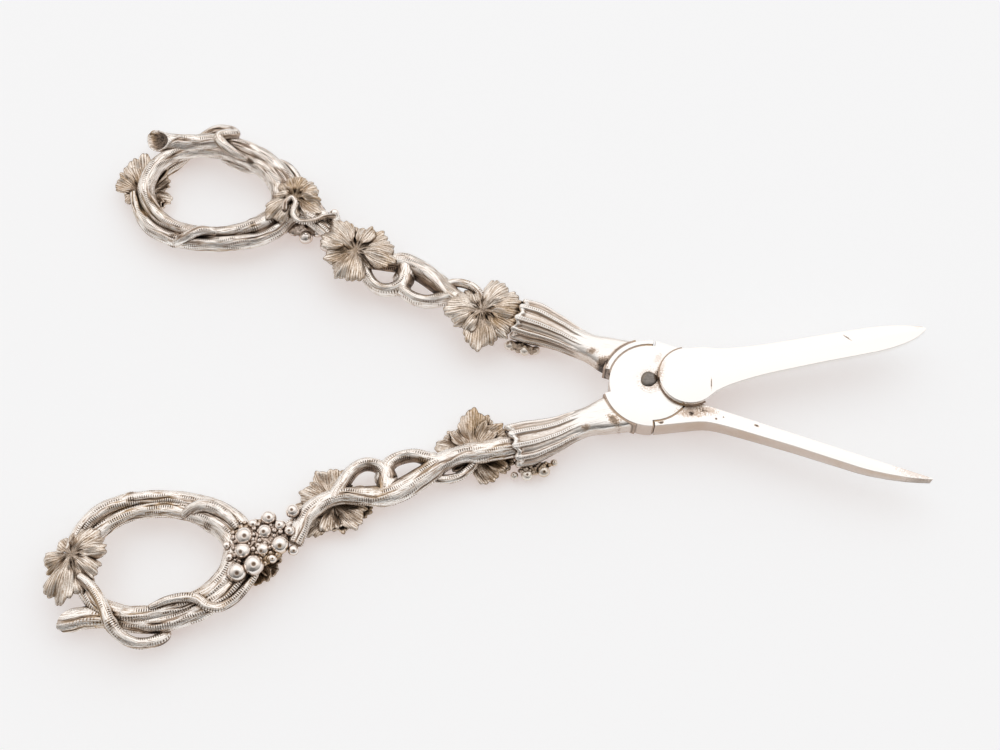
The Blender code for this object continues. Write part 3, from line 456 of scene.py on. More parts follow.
# The finger ring
# Three thick branches laid side by side in an oval, soldered where they touch. Thin shoots and a
# tendril wind over and under them and hold the end leaf.
RING_HALF_LENGTH, RING_HALF_WIDTH = 14.5, 12.5
RING_REACH = CALYX_REACH + STEM_LENGTH + 1.786 * RING_HALF_LENGTH
RING_DROP = CALYX_DROP + 1.58 * STEM_SWAY
BRANCH_RADIUS, BRANCH_FULLNESS = 1.5, 1.08
TENDRIL_RADIUS = 0.85
END_TENDRIL_RADIUS = 1.24 * TENDRIL_RADIUS
INNER_RING_SHARES = (
    (-0.517, -0.755, 0.35, 1.0), (-0.814, -0.528, 0.1, 1.1), (-0.979, -0.136, -0.25, 1.1),
    (-0.952, 0.28, -0.25, 1.1), (-0.71, 0.6, -0.2, 1.0), (-0.379, 0.768, -0.1, 0.95),
    (-0.034, 0.776, 0.0, 0.95), (0.31, 0.69, 0.0, 1.05), (0.596, 0.53, 0.0, 1.15),
    (0.848, 0.292, 0.0, 1.3), (0.985, 0.024, 0.0, 1.35), (0.97, -0.222, 0.0, 1.35),
    (0.845, -0.47, 0.0, 1.25), (0.63, -0.665, 0.0, 1.15), (0.31, -0.785, 0.0, 1.0),
    (-0.034, -0.84, 0.15, 0.95), (-0.3, -0.815, 0.35, 0.95))
OUTER_RING_SHARES = (
    (-1.1, 0.37, 0.4, 0.75), (-0.91, 0.68, 0.4, 0.9), (-0.645, 0.9, 0.4, 0.95),
    (-0.345, 0.975, 0.3, 0.95), (-0.034, 0.967, 0.1, 0.95), (0.276, 0.888, 0.0, 1.0),
    (0.586, 0.752, 0.0, 1.0), (0.876, 0.568, 0.0, 1.0), (1.083, 0.32, 0.0, 1.0), (1.23, 0.0, -0.3, 1.0),
    (1.42, -0.06, -0.6, 1.0), (1.64, 0.03, -0.6, 0.95), (1.86, 0.14, -0.6, 0.9))
LOWER_RING_SHARES = (
    (-1.12, -0.67, -0.4, 1.4), (-0.92, -0.69, -0.45, 1.32), (-0.655, -0.776, -0.45, 1.22),
    (-0.345, -0.928, -0.4, 1.15), (0.0, -1.0, -0.25, 1.1), (0.345, -0.97, -0.1, 1.1),
    (0.655, -0.848, 0.0, 1.1), (0.931, -0.656, 0.0, 1.05), (1.138, -0.38, 0.0, 1.0),
    (1.24, -0.04, -0.3, 0.9))
# Thin webs of solder fill the gaps between the branches.
WEB_TARNISH = 0.35
RING_WEB_SHARES = (((-0.93, 0.5, 0.1, 0.42), (-0.72, 0.73, 0.1, 0.5), (-0.36, 0.875, 0.1, 0.5),
                    (-0.03, 0.872, 0.05, 0.5), (0.29, 0.79, 0.0, 0.5), (0.59, 0.64, 0.0, 0.5),
                    (0.86, 0.43, 0.0, 0.5), (1.04, 0.16, -0.1, 0.5)),
                   ((-0.62, -0.745, -0.05, 0.45), (-0.34, -0.845, -0.05, 0.5), (0.0, -0.892, -0.05, 0.5),
                    (0.33, -0.857, 0.0, 0.5), (0.64, -0.75, 0.0, 0.5), (0.89, -0.56, 0.0, 0.5),
                    (1.05, -0.3, 0.0, 0.5)))
END_TENDRIL_SHARES = (
    (-0.966, -0.12, 1.6, 0.9), (-0.828, -0.336, 1.62, 1.0), (-0.73, -0.6, 1.8, 1.0),
    (-0.67, -0.86, 1.75, 1.1), (-0.575, -1.08, 1.3, 1.1), (-0.43, -1.215, 0.55, 1.05),
    (-0.27, -1.25, -0.05, 1.05), (-0.11, -1.215, -0.6, 1.1), (-0.05, -1.13, -1.15, 1.1),
    (-0.14, -1.04, -1.75, 1.15), (-0.2, -0.95, -1.95, 1.15), (-0.12, -0.85, -1.9, 1.1),
    (0.05, -0.765, -1.7, 1.0), (0.24, -0.735, -1.4, 0.8))
RING_SHOOT_SHARES = {
    "lower_shoot": ((-0.138, -0.765, 1.25, 0.7), (0.069, -0.73, 1.52, 0.95), (0.276, -0.738, 1.6, 1.05),
                    (0.441, -0.8, 1.55, 1.1), (0.552, -0.928, 1.35, 1.1), (0.703, -0.984, 0.95, 1.05),
                    (0.897, -0.904, 0.7, 1.0), (1.069, -0.744, 0.55, 0.95), (1.2, -0.58, 0.45, 0.85)),
    "back_shoot": ((-0.19, 1.06, -0.4, 0.9), (-0.08, 0.975, -1.05, 1.2), (0.03, 0.86, -1.36, 1.35),
                   (0.14, 0.765, -1.25, 1.3), (0.29, 0.7, -0.75, 1.0)),
    "upper_shoot": ((0.42, 0.56, 0.8, 1.0), (0.53, 0.61, 1.25, 1.25), (0.68, 0.62, 1.45, 1.35),
                    (0.84, 0.53, 1.4, 1.35), (0.97, 0.38, 1.25, 1.25), (1.06, 0.2, 1.0, 1.0))}


def ring_place(along, across, up=0.0):
    return (-RING_REACH + along * RING_HALF_LENGTH, -RING_DROP + across * RING_HALF_WIDTH,
            up * BRANCH_RADIUS)


RING_BRANCHES = {"inner": (INNER_RING_SHARES, 5, {"closed": True, "knots": (0.57,)}),
                 "outer": (OUTER_RING_SHARES, 7, {"ends": (SAWN_END, SAWN_END), "knots": (0.3,)}),
                 "lower": (LOWER_RING_SHARES, 9, {"ends": (HOLLOW_END, SAWN_END), "slant": (0.7, -1.3)})}
ring_branches = [branch(name, round_route(ring_place, shares, BRANCH_RADIUS * BRANCH_FULLNESS), sides=66,
                        furrows=5, depth=0.17, seed=seed, **form)
                 for name, (shares, seed, form) in RING_BRANCHES.items()]
for number, shares in enumerate(RING_WEB_SHARES):
    web = branch("web", round_route(ring_place, shares, BRANCH_RADIUS), sides=20, furrows=2, depth=0.1,
                 seed=51 + number)
    mark(web, "recess", [WEB_TARNISH] * len(web.data.vertices))
    ring_branches.append(web)
set_on_arms(join("ring_branches", ring_branches), "ring_vine", cast_silver)
tendril = branch("wound_tendril", round_route(ring_place, END_TENDRIL_SHARES, END_TENDRIL_RADIUS), sides=40,
                 furrows=3, depth=0.1, seed=21, ends=(ROUND_END, FINE_TIP), knots=(0.33,))
set_on_arms(tendril, "end_tendril", cast_silver)
for number, (node, shares) in enumerate(RING_SHOOT_SHARES.items()):
    wound = branch("wound_" + node, round_route(ring_place, shares, TENDRIL_RADIUS), sides=36, furrows=3,
                   depth=0.1, seed=31 + number)
    set_on_arms(wound, node, cast_silver)

# The vine leaves
# Cast thin and chased: rounded lobes, some crowned and some hollow, overlap at their sides. Fine
# ribs fan out from the leaf's heart to a scalloped edge. They are soldered to the branches.
LEAF_THICKNESS = 0.7
LOBE_ROWS, LOBE_COLUMNS = 49, 97
LOBE_CROWN_MM, LIFT_MM = 0.78, 1.5
HOLLOW_LOBE, HOLLOW_RAISE_MM = -0.4, 0.32
LIP_MM, PUCKER_MM, RIPPLE_MM, TILT_MM = 0.8, 0.32, 0.12, 0.35
RIB_SPACING_MM, RIB_DEPTH_MM = 0.75, 0.01
MIDRIB_WIDTH_MM, MIDRIB_DEPTH_MM = 0.13, 0.05
SCALLOP_MM = 1.25

# Chased leaf silver is duller than the bark, because its fine lines hold tarnish between the ribs.
leaf_silver = silver("chased_leaf_silver", "FDF6ED", "C8B098", "3A2F26", (0.22, 0.52),
                     hollow=0.85, shelter=0.85, patches=0.7, level=0.02, grain=0.4, golden_film=0.6,
                     streaks=0.45, streak_mm=(2.0, 0.15), streak_relief=0.6, line_pitch_mm=0.44)


def smooth_step(value, low, high):
    t = np.clip((value - low) / (high - low), 0, 1)
    return t * t * (3 - 2 * t)


def lobe(centre, direction, length, spread, lift, edge_bend, face):
    """One fan-shaped lobe from the leaf's heart; direction and half spread in degrees."""
    side, run = np.meshgrid(np.linspace(-1, 1, LOBE_COLUMNS), np.linspace(0, 1, LOBE_ROWS))
    share = 1 - np.abs(2 * run - 1)
    top = np.where(run < 0.5, 1.0, -1.0)
    spread = radians(spread)
    # The outline, as an angle and a reach from the heart at each point of the grid.
    waist = 1.12 - 0.28 * np.exp(-((share - 0.38) / 0.12) ** 2)
    turn = radians(direction) + side * spread * waist
    outline = 1 - 0.22 * np.abs(side) ** 1.7 - 0.08 * np.abs(side) ** 9
    scallops = max(3, round(2 * spread * length / SCALLOP_MM))
    outline += 0.05 * (np.abs(np.cos(scallops * pi * side / 2)) - 0.6) * smooth_step(share, 0.6, 1.0)
    outline += 0.05 * np.sin(6 * side + direction) + 0.03 * np.sin(11 * side + 2 * direction)
    radius = share * outline * length
    # The relief: ribs and a sunk midrib on a crowned or hollow lobe with curled lips and puckers.
    ribs = round(2 * spread * 0.8 * length / RIB_SPACING_MM)
    fan = np.cos(ribs * pi * side * (0.45 + 0.55 * share))
    fan_fade = smooth_step(share, 0.18, 0.45)
    midrib = np.exp(-(side * spread * radius / MIDRIB_WIDTH_MM) ** 2) * smooth_step(share, 0.1, 0.25)
    midrib = midrib * (1 - smooth_step(share, 0.5, 0.85))
    crown = LOBE_CROWN_MM * (1 - side ** 2) * smooth_step(share, 0.0, 0.5)
    crown = crown * (1 - 0.45 * smooth_step(share, 0.6, 1))
    hollow = lift <= 0
    if hollow:
        crown = HOLLOW_LOBE * crown + HOLLOW_RAISE_MM * smooth_step(share, 0.0, 0.4)
    lip = LIP_MM * np.exp(-((1 - np.abs(side)) / 0.17) ** 2) * np.exp(-((share - 0.45) / 0.22) ** 2)
    pucker = PUCKER_MM * np.sin(5.0 * share + 3.5 * side + direction) * share
    pucker = pucker + TILT_MM * side * np.sin(direction) * share
    pucker = pucker + RIPPLE_MM * np.sin(11.0 * share - 6.0 * side + 2 * direction) * share
    relief = crown + lip + pucker + LIFT_MM * lift * smooth_step(share, 0.1, 0.5)
    relief = relief - MIDRIB_DEPTH_MM * midrib + RIB_DEPTH_MM * fan * fan_fade
    half = LEAF_THICKNESS / 2 * np.sqrt(np.clip(1 - share ** 12, 0, 1) * np.clip(1 - side ** 14, 0, 1))
    height = centre[2] + edge_bend * share ** 2 + face * (relief - LOBE_CROWN_MM / 2 + top * half)
    places = np.dstack([centre[0] + radius * np.cos(turn), centre[1] + radius * np.sin(turn), height])
    # The tarnish stays in the midrib, between the ribs, at the heart, under the lips and in a hollow.
    hollows = [0.4 * midrib, 0.12 * (0.5 - 0.5 * fan) * fan_fade,
               0.3 * (1 - smooth_step(share, 0.05, 0.35)),
               0.7 * smooth_step(np.abs(side), 0.88, 1.0) * (1 - smooth_step(share, 0.3, 0.6)),
               0.3 * hollow * (1 - side ** 2) * smooth_step(share, 0.1, 0.4)
               * (1 - smooth_step(share, 0.6, 0.95))]
    recess = np.maximum.reduce(hollows)
    recess = np.where(top > 0, recess, 0.12 + 0.4 * recess)
    grain = np.dstack([radius, side * spread * length * (0.3 + 0.55 * share), top + direction])
    return rolled_sheet("lobe", places, recess, grain)


BUNCH_REACH = RING_REACH - 1.303 * RING_HALF_LENGTH
BUNCH_DROP = CALYX_DROP + 1.88 * STEM_SWAY
BUNCH_HALF_LENGTH, BUNCH_HALF_WIDTH = 6.0, 5.0
GRAPE_RADIUS = 1.6


def bunch_place(along, across, up=0.0):
    return (-BUNCH_REACH + along * BUNCH_HALF_LENGTH, -BUNCH_DROP + across * BUNCH_HALF_WIDTH,
            up * GRAPE_RADIUS)


# Each leaf's heart, how far its edge bends, the face it lies on, and its lobes as rows of
# (direction, length, half spread, lift).
LEAVES = {
    "end_leaf": (ring_place(-1.05, 0.27, 1.85), -1.0, 1,
                 ((33, 6.2, 30, 0.25), (4, 6.5, 27, 0.22), (70, 4.6, 24, -0.1), (122, 4.1, 38, -0.4),
                  (187, 5.8, 30, -0.75), (222, 6.5, 26, -0.65), (245, 9.4, 24, 0.15), (281, 7.9, 23, 0.0),
                  (311, 6.4, 24, 0.2))),
    "junction_leaf": (bunch_place(-0.22, -0.36, -1.69), 0.8, -1,
                      ((325, 5.1, 36, 0.25), (275, 5.2, 38, 0.28), (226, 5.2, 34, 0.22),
                       (165, 4.2, 28, 0.35), (120, 7.2, 32, 0.5), (80, 5.0, 26, 0.25),
                       (14, 5.9, 30, -0.05))),
    "stem_leaf": (stem_place(0.815, -0.67, -1.42), 1.0, -1,
                  ((207, 8.5, 37, 0.3), (248, 6.0, 28, -0.05), (277, 6.4, 27, 0.12), (311, 7.2, 32, -0.1),
                   (352, 8.3, 31, 0.3), (25, 4.7, 25, 0.0), (86, 7.1, 39, 0.25), (152, 6.4, 33, -0.12))),
    "calyx_leaf": (stem_place(0.15, 0.3, -1.42), 1.0, -1,
                   ((165, 7.2, 40, 0.3), (118, 5.6, 30, 0.05), (76, 8.1, 33, -0.15), (300, 7.6, 38, 0.25),
                    (338, 8.5, 34, 0.05), (10, 7.9, 32, 0.0), (42, 6.2, 26, -0.2),
                    (205, 6.4, 26, -0.3), (238, 5.0, 34, -0.2))),
}
for node, (centre, edge_bend, face, lobes) in LEAVES.items():
    fans = [lobe(centre, *size, edge_bend, face) for size in lobes]
    set_on_arms(join("chased_" + node, fans), node, leaf_silver)

# The curled leaf stalk
# A thin cast stalk that loops over the junction leaf and runs on to the stem leaf. It is soldered
# where it crosses them.
PETIOLE_RADIUS = 0.6
PETIOLE_DEPTH = 4.1
PETIOLE_SHARES = (
    (-0.34, 0.42, 0.96), (-0.4, 0.1, 0.97), (-0.26, -0.18, 0.97), (-0.06, 0.02, 0.97),
    (-0.02, 0.48, 0.96), (0.28, 0.74, 0.9), (0.66, 0.55, 0.8), (0.98, 0.12, 0.6), (1.22, -0.14, 0.3))
stalk = [(*bunch_place(along, across)[:2], -PETIOLE_DEPTH * up, PETIOLE_RADIUS, PETIOLE_RADIUS)
         for along, across, up in PETIOLE_SHARES]
stalk = branch("leaf_stalk", stalk, sides=24, furrows=3, depth=0.08, seed=41)
set_on_arms(stalk, "petiole", cast_silver)

# The grapes
# Small balls, burnished until they shine, each with the dark dimple of its blossom scar. They are
# soldered to a low mound, and the tarnish between them is never reached by a cloth.
GRAPE_FULLNESS = 1.12
GRAPE_SHARES = (
    (-0.37, 0.38, 1.35, 1.0), (-0.47, -0.18, 1.35, 0.93), (-0.75, -0.94, 1.45, 1.0),
    (-0.22, -0.8, 1.4, 1.07), (0.13, -0.26, 1.2, 0.78), (0.28, 0.4, 1.3, 0.82),
    (0.68, -0.22, 1.35, 0.95), (0.456, 0.93, 1.1, 0.84), (0.77, 0.54, 1.2, 0.63),
    (1.03, 0.26, 1.15, 0.6), (1.23, 1.02, 1.15, 0.76), (-0.05, 0.82, 1.15, 0.56),
    (-0.95, 0.18, 1.25, 0.5), (-0.92, -0.3, 1.25, 0.47), (0.38, -0.66, 1.1, 0.5),
    (1.06, -0.51, 1.1, 0.58))
SCAR_HEIGHTS, SCAR_DEPTH, GRAPE_UNEVENNESS = (0.962, 0.992), 0.08, 0.035
MOUND_TARNISH, SEED_TARNISH = 0.45, 0.3
SEED_RADII_MM, SEED_SPIRAL = (0.3, 0.62), 2.4
MOUND_LUMP_MM = 0.2

# Burnished grapes are mirrors on top, and brown where they meet. Their steep sides also carry
# painted shade and a painted brown reflection of their neighbours.
grape_silver = silver("burnished_grape_silver", "FFF8F2", "BFA693", "3A302A", (0.17, 0.5),
                      hollow=0.9, shelter=0.75, patches=0.25, level=-0.15, grain=0.12, sides=0.4)
# The grapes beside the cup are left as cast, because no burnisher reaches them: grainy and dull.
# Their steep sides carry a little painted shade.
dull_grape_silver = silver("cast_grape_silver", "F8F1E8", "C6B19C", "42372F", (0.32, 0.55),
                           hollow=0.9, shelter=0.8, patches=0.7, level=-0.04, grain=0.9, sides=0.2)


def grape(place, radius, lean, segments=28, tarnish_and_shade=0.0):
    """One uneven ball with the dimple of its blossom scar, leaning by lean = (x, y) from straight up."""
    bpy.ops.mesh.primitive_uv_sphere_add(segments=segments, ring_count=segments - 6, radius=radius)
    ball = bpy.context.active_object
    heights = np.array([vertex.co.z / radius for vertex in ball.data.vertices])
    scar = smooth_step(heights, *SCAR_HEIGHTS)
    mark(ball, "recess", np.maximum(scar, tarnish_and_shade))
    for vertex, hollow in zip(ball.data.vertices, scar):
        vertex.co.z -= SCAR_DEPTH * radius * hollow
        bump = np.sin(3.1 * vertex.co.x / radius + 5 * place[0])
        bump *= np.sin(2.7 * vertex.co.y / radius + 5 * place[1])
        vertex.co *= 1 + GRAPE_UNEVENNESS * bump
    tilt = Matrix.Rotation(-lean[1], 4, "X") @ Matrix.Rotation(lean[0], 4, "Y")
    ball.data.transform(Matrix.Translation(place) @ tilt)
    bpy.ops.object.shade_smooth()
    return ball


def bunch(name, grapes, centre, mound, seeds):
    """A bunch on a low mound; between the grapes the mound is rough with unripe ones."""
    random = np.random.default_rng(seeds)
    balls = [grape(place, radius, (random.uniform(-0.25, 0.15), random.uniform(-0.45, -0.05)))
             for place, radius in grapes]
    for number in range(seeds):
        turn, reach = SEED_SPIRAL * number, np.sqrt((number + 0.5) / seeds)
        spot = (centre[0] + mound[0] * reach * np.cos(turn), centre[1] + mound[1] * reach * np.sin(turn),
                centre[2] + mound[2] * np.sqrt(1.02 - reach ** 2))
        lean = (0.3 * np.cos(turn), 0.3 * np.sin(turn))
        balls.append(grape(spot, random.uniform(*SEED_RADII_MM), lean, 14, SEED_TARNISH))
    bpy.ops.mesh.primitive_uv_sphere_add(segments=64, ring_count=32, radius=1, location=centre, scale=mound)
    core = bpy.context.active_object
    bpy.ops.object.transform_apply(location=True, rotation=True, scale=True)
    bpy.ops.object.shade_smooth()
    for vertex in core.data.vertices:
        lump = sum(np.sin(pitch * vertex.co.x + turn) * np.sin(pitch * vertex.co.y - turn)
                   for pitch, turn in ((3.1, 0.4), (5.3, 1.9)))
        vertex.co.z += np.sign(vertex.co.z - centre[2]) * MOUND_LUMP_MM * lump
    mark(core, "recess", [MOUND_TARNISH] * len(core.data.vertices))
    return join(name, balls + [core])


RING_MOUND, CALYX_MOUND = (5.8, 4.6, 1.2), (3.3, 0.9, 0.9)
grapes = [(bunch_place(along, across - 0.08, up), size * GRAPE_RADIUS * GRAPE_FULLNESS)
          for along, across, up, size in GRAPE_SHARES]
ring_grapes = bunch("ring_grapes", grapes, bunch_place(0.0, 0.0, 0.85), RING_MOUND, 64)
set_on_arms(ring_grapes, "grape_bunch", grape_silver)
CALYX_HALF_WIDTH, CALYX_HALF_DEPTH = 4.5, 3.9
CALYX_GRAPE_RADIUS = 1.0
CALYX_GRAPE_SHARES = {
    "front": ((0.91, -1.24, -0.6, 1.18), (0.85, -1.02, -0.86, 1.0), (0.8, -1.24, -0.56, 1.2),
              (0.72, -0.93, -0.66, 0.7), (0.99, -1.12, -0.7, 0.75)),
    "rear": ((0.98, 1.12, 0.64, 1.05), (0.93, 1.0, 0.82, 1.1), (0.87, 1.14, 0.62, 1.15),
             (0.8, 1.0, 0.66, 0.9))}
for arm, shares in CALYX_GRAPE_SHARES.items():
    grapes = [((-along * CALYX_REACH, -CALYX_DROP + across * CALYX_HALF_WIDTH, up * CALYX_HALF_DEPTH),
               size * CALYX_GRAPE_RADIUS) for along, across, up, size in shares]
    centre = np.mean([place for place, _ in grapes], axis=0) * (1, 0.96, 0.8)
    cup_grapes = bunch("cup_grapes", grapes, centre, CALYX_MOUND, 16)
    set_on_arms(cup_grapes, "calyx_grapes", dull_grape_silver, arms=(arm,))

# The fluted cup and shank
# A cast cup with ten ribs that run out into a plain buffed shank, soldered to the joint's rim. The
# stem is set in its mouth, whose lip is scalloped by the ribs.
RIBS, RIB_HEIGHT = 10, 0.75
CUP_SIDES, CUP_STEP_MM = 200, 0.16
MOUTH_SHORTER_MM, MOUTH_SLANT, MOUTH_REACH_MM = 1.6, 0.08, 9.0
RIB_LIP_MM = 0.8
SHANK_END_RADIUS = 9.5
# The lip, from inside the cup, as rows of (shift inwards, share of the width).
CUP_LIP = ((2.6, 0.0), (2.6, 0.4), (2.5, 0.56), (1.2, 0.62), (0.2, 0.66), (-0.15, 0.74), (-0.32, 0.84),
           (-0.3, 0.93), (-0.12, 0.99))
CUP_INSIDE_ROWS = 6
# The outside, as shares of (reach, drop, width, depth), the section's squareness and the flutes' depth.
SHANK_SHARES = (
    (1.0, 1.0, 1.0, 1.0, 2.0, 1.0), (0.9, 1.0, 1.02, 1.0, 2.0, 1.0), (0.8, 0.98, 0.92, 0.91, 2.2, 0.95),
    (0.67, 0.91, 0.77, 0.78, 2.4, 0.75), (0.58, 0.81, 0.67, 0.71, 2.7, 0.5),
    (0.51, 0.75, 0.62, 0.67, 2.9, 0.08), (0.44, 0.7, 0.62, 0.65, 3.2, 0.0),
    (0.36, 0.66, 0.73, 0.64, 4.0, 0.0), (0.24, 0.64, 0.86, 0.64, 7.0, 0.0))

# Stains that have set where fingers and polish meet the bare metal, as rows of (x, y, half length,
# half width, turn in degrees, strength). The row at (-6.9, -8.2) is no stain: it is painted shade on
# the front shank beside the joint.
STAINS_AND_SHADE = (
    (0.0, 0.4, 2.8, 2.9, 0, 0.52), (1.9, 2.4, 0.9, 2.4, -20, 0.34), (1.5, 5.3, 0.8, 1.8, -35, 0.3),
    (8.0, -5.9, 3.4, 1.4, 0, 0.6), (11.3, -5.3, 2.4, 1.1, -15, 0.5), (8.1, -6.2, 0.7, 0.45, 0, 0.55),
    (2.2, -8.35, 0.7, 0.35, 15, 1.0), (12.9, -7.05, 0.3, 0.25, 0, 1.0), (14.3, -6.65, 0.25, 0.2, 0, 1.0),
    (20.7, -8.1, 0.6, 0.28, -20, 1.0), (50.5, -16.0, 5.0, 1.7, -18, 0.36),
    (53.6, 14.9, 2.6, 1.3, 20, 0.32), (-6.9, -8.2, 1.8, 1.0, -35, 0.75),
    (-12.3, -10.0, 1.1, 0.7, 20, 0.65), (-11.5, 6.25, 1.3, 0.8, 0, 0.65), (-9.3, 3.97, 1.3, 1.6, 0, 0.85),
    (-9.0, 1.6, 1.2, 1.6, 0, 0.8), (11.8, -0.4, 0.16, 1.5, 0, 0.9), (38.6, 10.9, 1.1, 0.18, -35, 0.9))
# Cast and buffed: nearly white ribs with faint lines along them, and brown flutes between them.
# Its upright sides are painted darker as shade, and one of its stain rows is painted shade too.
cup_silver = silver("cast_and_buffed_silver", "FAF6F1", "CBB6A4", "42372F", (0.17, 0.5),
                    hollow=0.75, shelter=0.85, patches=0.22, level=-0.14, grain=0.15, golden_film=0.3,
                    streaks=0.2, streak_mm=(4.0, 0.22), streak_relief=0.5, sides=0.34, spots=STAINS_AND_SHADE)


def shank():
    """The cup and its shank, as one sheet rolled from inside the lip to the joint's rim."""
    outside, _ = even_route([(-reach * CALYX_REACH, -drop * CALYX_DROP, 0, width * CALYX_HALF_WIDTH,
                              depth * CALYX_HALF_DEPTH, square, flute)
                             for reach, drop, width, depth, square, flute in SHANK_SHARES], CUP_STEP_MM)
    around = np.linspace(0, 2 * pi, CUP_SIDES + 1)[None, :]
    lip = outside[0]
    rows = [(lip[0] + inward, *lip[1:3], lip[3] * scale, lip[4] * scale, lip[5], scale)
            for inward, scale in CUP_LIP]
    rows = np.array(rows + list(outside) + [(*outside[-1][:3], 0.0, 0.0, 7.0, 0.0)])
    x, y, _, wide, deep, square, flute = [column[:, None] for column in rows.T]
    flute = np.clip(flute, 0, 1)
    flat = (np.abs(np.cos(around)) ** square + np.abs(np.sin(around)) ** square) ** (-1 / square)
    # Each rib is a narrow crest between valleys, with a dark line at its foot and fine lines along it.
    crest = np.abs(np.sin(RIBS * around / 2))
    mouth = smooth_step(x - lip[0], 0.25, 1.1)
    valley = smooth_step(crest, 0.42, 0.7)
    foot = np.exp(-((crest - 0.6) / 0.13) ** 2) * mouth * np.minimum(1, 2 * flute)
    lines = 0.5 + 0.5 * np.cos(3 * RIBS * around)
    fading = smooth_step(flute, 0.0, 0.5)
    relief = -RIB_HEIGHT * flute * valley * (0.25 + 0.75 * mouth) - 0.03 * fading * lines
    across = y + np.cos(around) * (wide * flat + relief * (wide > 0))
    up = np.sin(around) * (deep * flat + relief * (wide > 0))
    # The mouth is scalloped and cut askew, and the shank's end follows the joint's rim.
    along = x - RIB_LIP_MM * (0.5 + 0.5 * np.cos(RIBS * around)) * np.exp(-((x - lip[0]) / 1.6) ** 2)
    near_mouth = 1 - smooth_step(x - lip[0], 0.0, MOUTH_REACH_MM)
    along = along + near_mouth * (MOUTH_SHORTER_MM - MOUTH_SLANT * (across - y))
    end = -np.sqrt(SHANK_END_RADIUS ** 2 - np.clip(across, -9, 9) ** 2)
    along = along + (end - along) * smooth_step(x, -11.0, outside[-1][0])
    inside = (np.arange(len(rows)) < CUP_INSIDE_ROWS)[:, None]
    seam = np.exp(-((along - end) / 0.3) ** 2)
    recess = np.maximum(np.maximum(0.3 * flute * valley * mouth, 0.65 * foot), 1.0 * inside)
    recess = np.clip(np.maximum(recess, 0.9 * seam) + 0.12 * fading * lines, 0, 1)
    cuts = 0.55 * (1 - smooth_step(crest, 0.1, 0.34)) * smooth_step(flute, 0.25, 0.6) * mouth
    return rolled_sheet("fluted_cup", np.dstack([along, across, up]), recess, cuts=cuts)


set_on_arms(shank(), "shank", cup_silver)

# The blades and the half-lap joint
# Forged in sterling silver and buffed nearly white, with softened edges. Each arm ends in a
# half-thick disc that laps the other's, and in a rim that stops the opening.
EDGE_MM, PLATE_TIP_MM = 0.16, 1.1
SHARP_EDGE, SMOOTH_EDGE, FLAT_EDGE = radians(32), radians(40), radians(0.6)

# Buffed sterling is a clear pale mirror that dulls in set stains. Its upright sides are painted
# darker as shade, and made duller. The ground plate is even clearer.
BUFFED = ("F9F6F2", "DAC7B8", "4A3D33", (0.13, 0.45))
polished_silver = silver("buffed_sterling_silver", *BUFFED, hollow=0.8, shelter=0.9, patches=0.1,
                         level=-0.12, grain=0.05, golden_film=0.25, sides=0.52, spots=STAINS_AND_SHADE)
plate_silver = silver("ground_and_buffed_silver", *BUFFED, hollow=0.8, shelter=0.0, patches=0.08,
                      level=-0.12, grain=0.05, golden_film=0.2, spots=STAINS_AND_SHADE)


def soften(node, name, material, tip_mm=0.0):
    """A copy of a CAD node whose sharp edges are rounded off, and its pointed tip by tip_mm."""
    source = frame["nodes"][node]
    piece = source.copy()
    piece.data = source.data.copy()
    piece.name = name
    bpy.context.collection.objects.link(piece)
    pick([piece])
    bpy.ops.object.mode_set(mode="EDIT")
    bpy.ops.mesh.select_all(action="SELECT")
    bpy.ops.mesh.remove_doubles(threshold=0.002 * MM)
    bpy.ops.mesh.dissolve_limited(angle_limit=FLAT_EDGE)
    if tip_mm:
        bpy.ops.mesh.select_all(action="DESELECT")
        bpy.ops.object.mode_set(mode="OBJECT")
        farthest = max(vertex.co.x for vertex in piece.data.vertices)
        for vertex in piece.data.vertices:
            vertex.select = vertex.co.x > farthest - 0.1 * MM
        for side in piece.data.edges:
            side.select = all(piece.data.vertices[end].select for end in side.vertices)
        bpy.ops.object.mode_set(mode="EDIT")
        bpy.ops.mesh.bevel(offset=tip_mm * MM, segments=6, affect="EDGES")
    bpy.ops.object.mode_set(mode="OBJECT")
    edge = piece.modifiers.new("edge", "BEVEL")
    edge.width, edge.segments, edge.limit_method, edge.angle_limit = EDGE_MM * MM, 3, "ANGLE", SHARP_EDGE
    bpy.ops.object.modifier_apply(modifier="edge")
    bpy.ops.object.shade_smooth_by_angle(angle=SMOOTH_EDGE)
    piece.data.materials.clear()
    piece.data.materials.append(material)
    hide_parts(node)
    return piece


# Each bar thins from the joint to its tip, as rows of (x, lift of its lower face) in millimetres. The
# front bar is shortened as well, by a share of what lies past END_X_MM.
TAPERS = {"front": ((12.0, 0.0), (22.0, 1.3), (38.0, 2.3), (54.0, 3.9)),
          "rear": ((8.0, 0.0), (13.0, 0.8), (30.0, 1.4), (45.0, 1.9), (54.0, 2.8))}
END_X_MM, SHORTEN = 49.0, {"front": 0.5, "rear": 0.0}


def taper(piece, rows, shorten):
    """Forges a bar thinner from beneath along rows of (x, lift); its upper face stays where it is."""
    heights = [corner[2] for corner in piece.bound_box]
    low, high = min(heights), max(heights)
    for vertex in piece.data.vertices:
        lift = float(np.interp(vertex.co.x / MM, *zip(*rows)))
        vertex.co.z += lift * MM * (high - vertex.co.z) / (high - low)
        vertex.co.x -= shorten * max(0, vertex.co.x - END_X_MM * MM)


for arm, shorten in SHORTEN.items():
    bar = soften(f"{arm}_blade_bar", f"{arm}_forged_bar", polished_silver)
    taper(bar, TAPERS[arm], shorten)
    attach(bar, arm + "_arm")
plate = soften("front_cutting_plate", "front_ground_plate", plate_silver, PLATE_TIP_MM)
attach(plate, "front_arm")

# The solder and the old polish in the joint
# Dull solder fills the seam between each shank and its rim. Brown polish has dried in the gap round
# the front disc, and the rivet's hole has been closed on it with a punch.
DISC_RADIUS, RIM_RADIUS, JOINT_GAP = 8.0, 9.2, 0.3
HALF_JOINT = 2.5
BAND_STEPS = 70

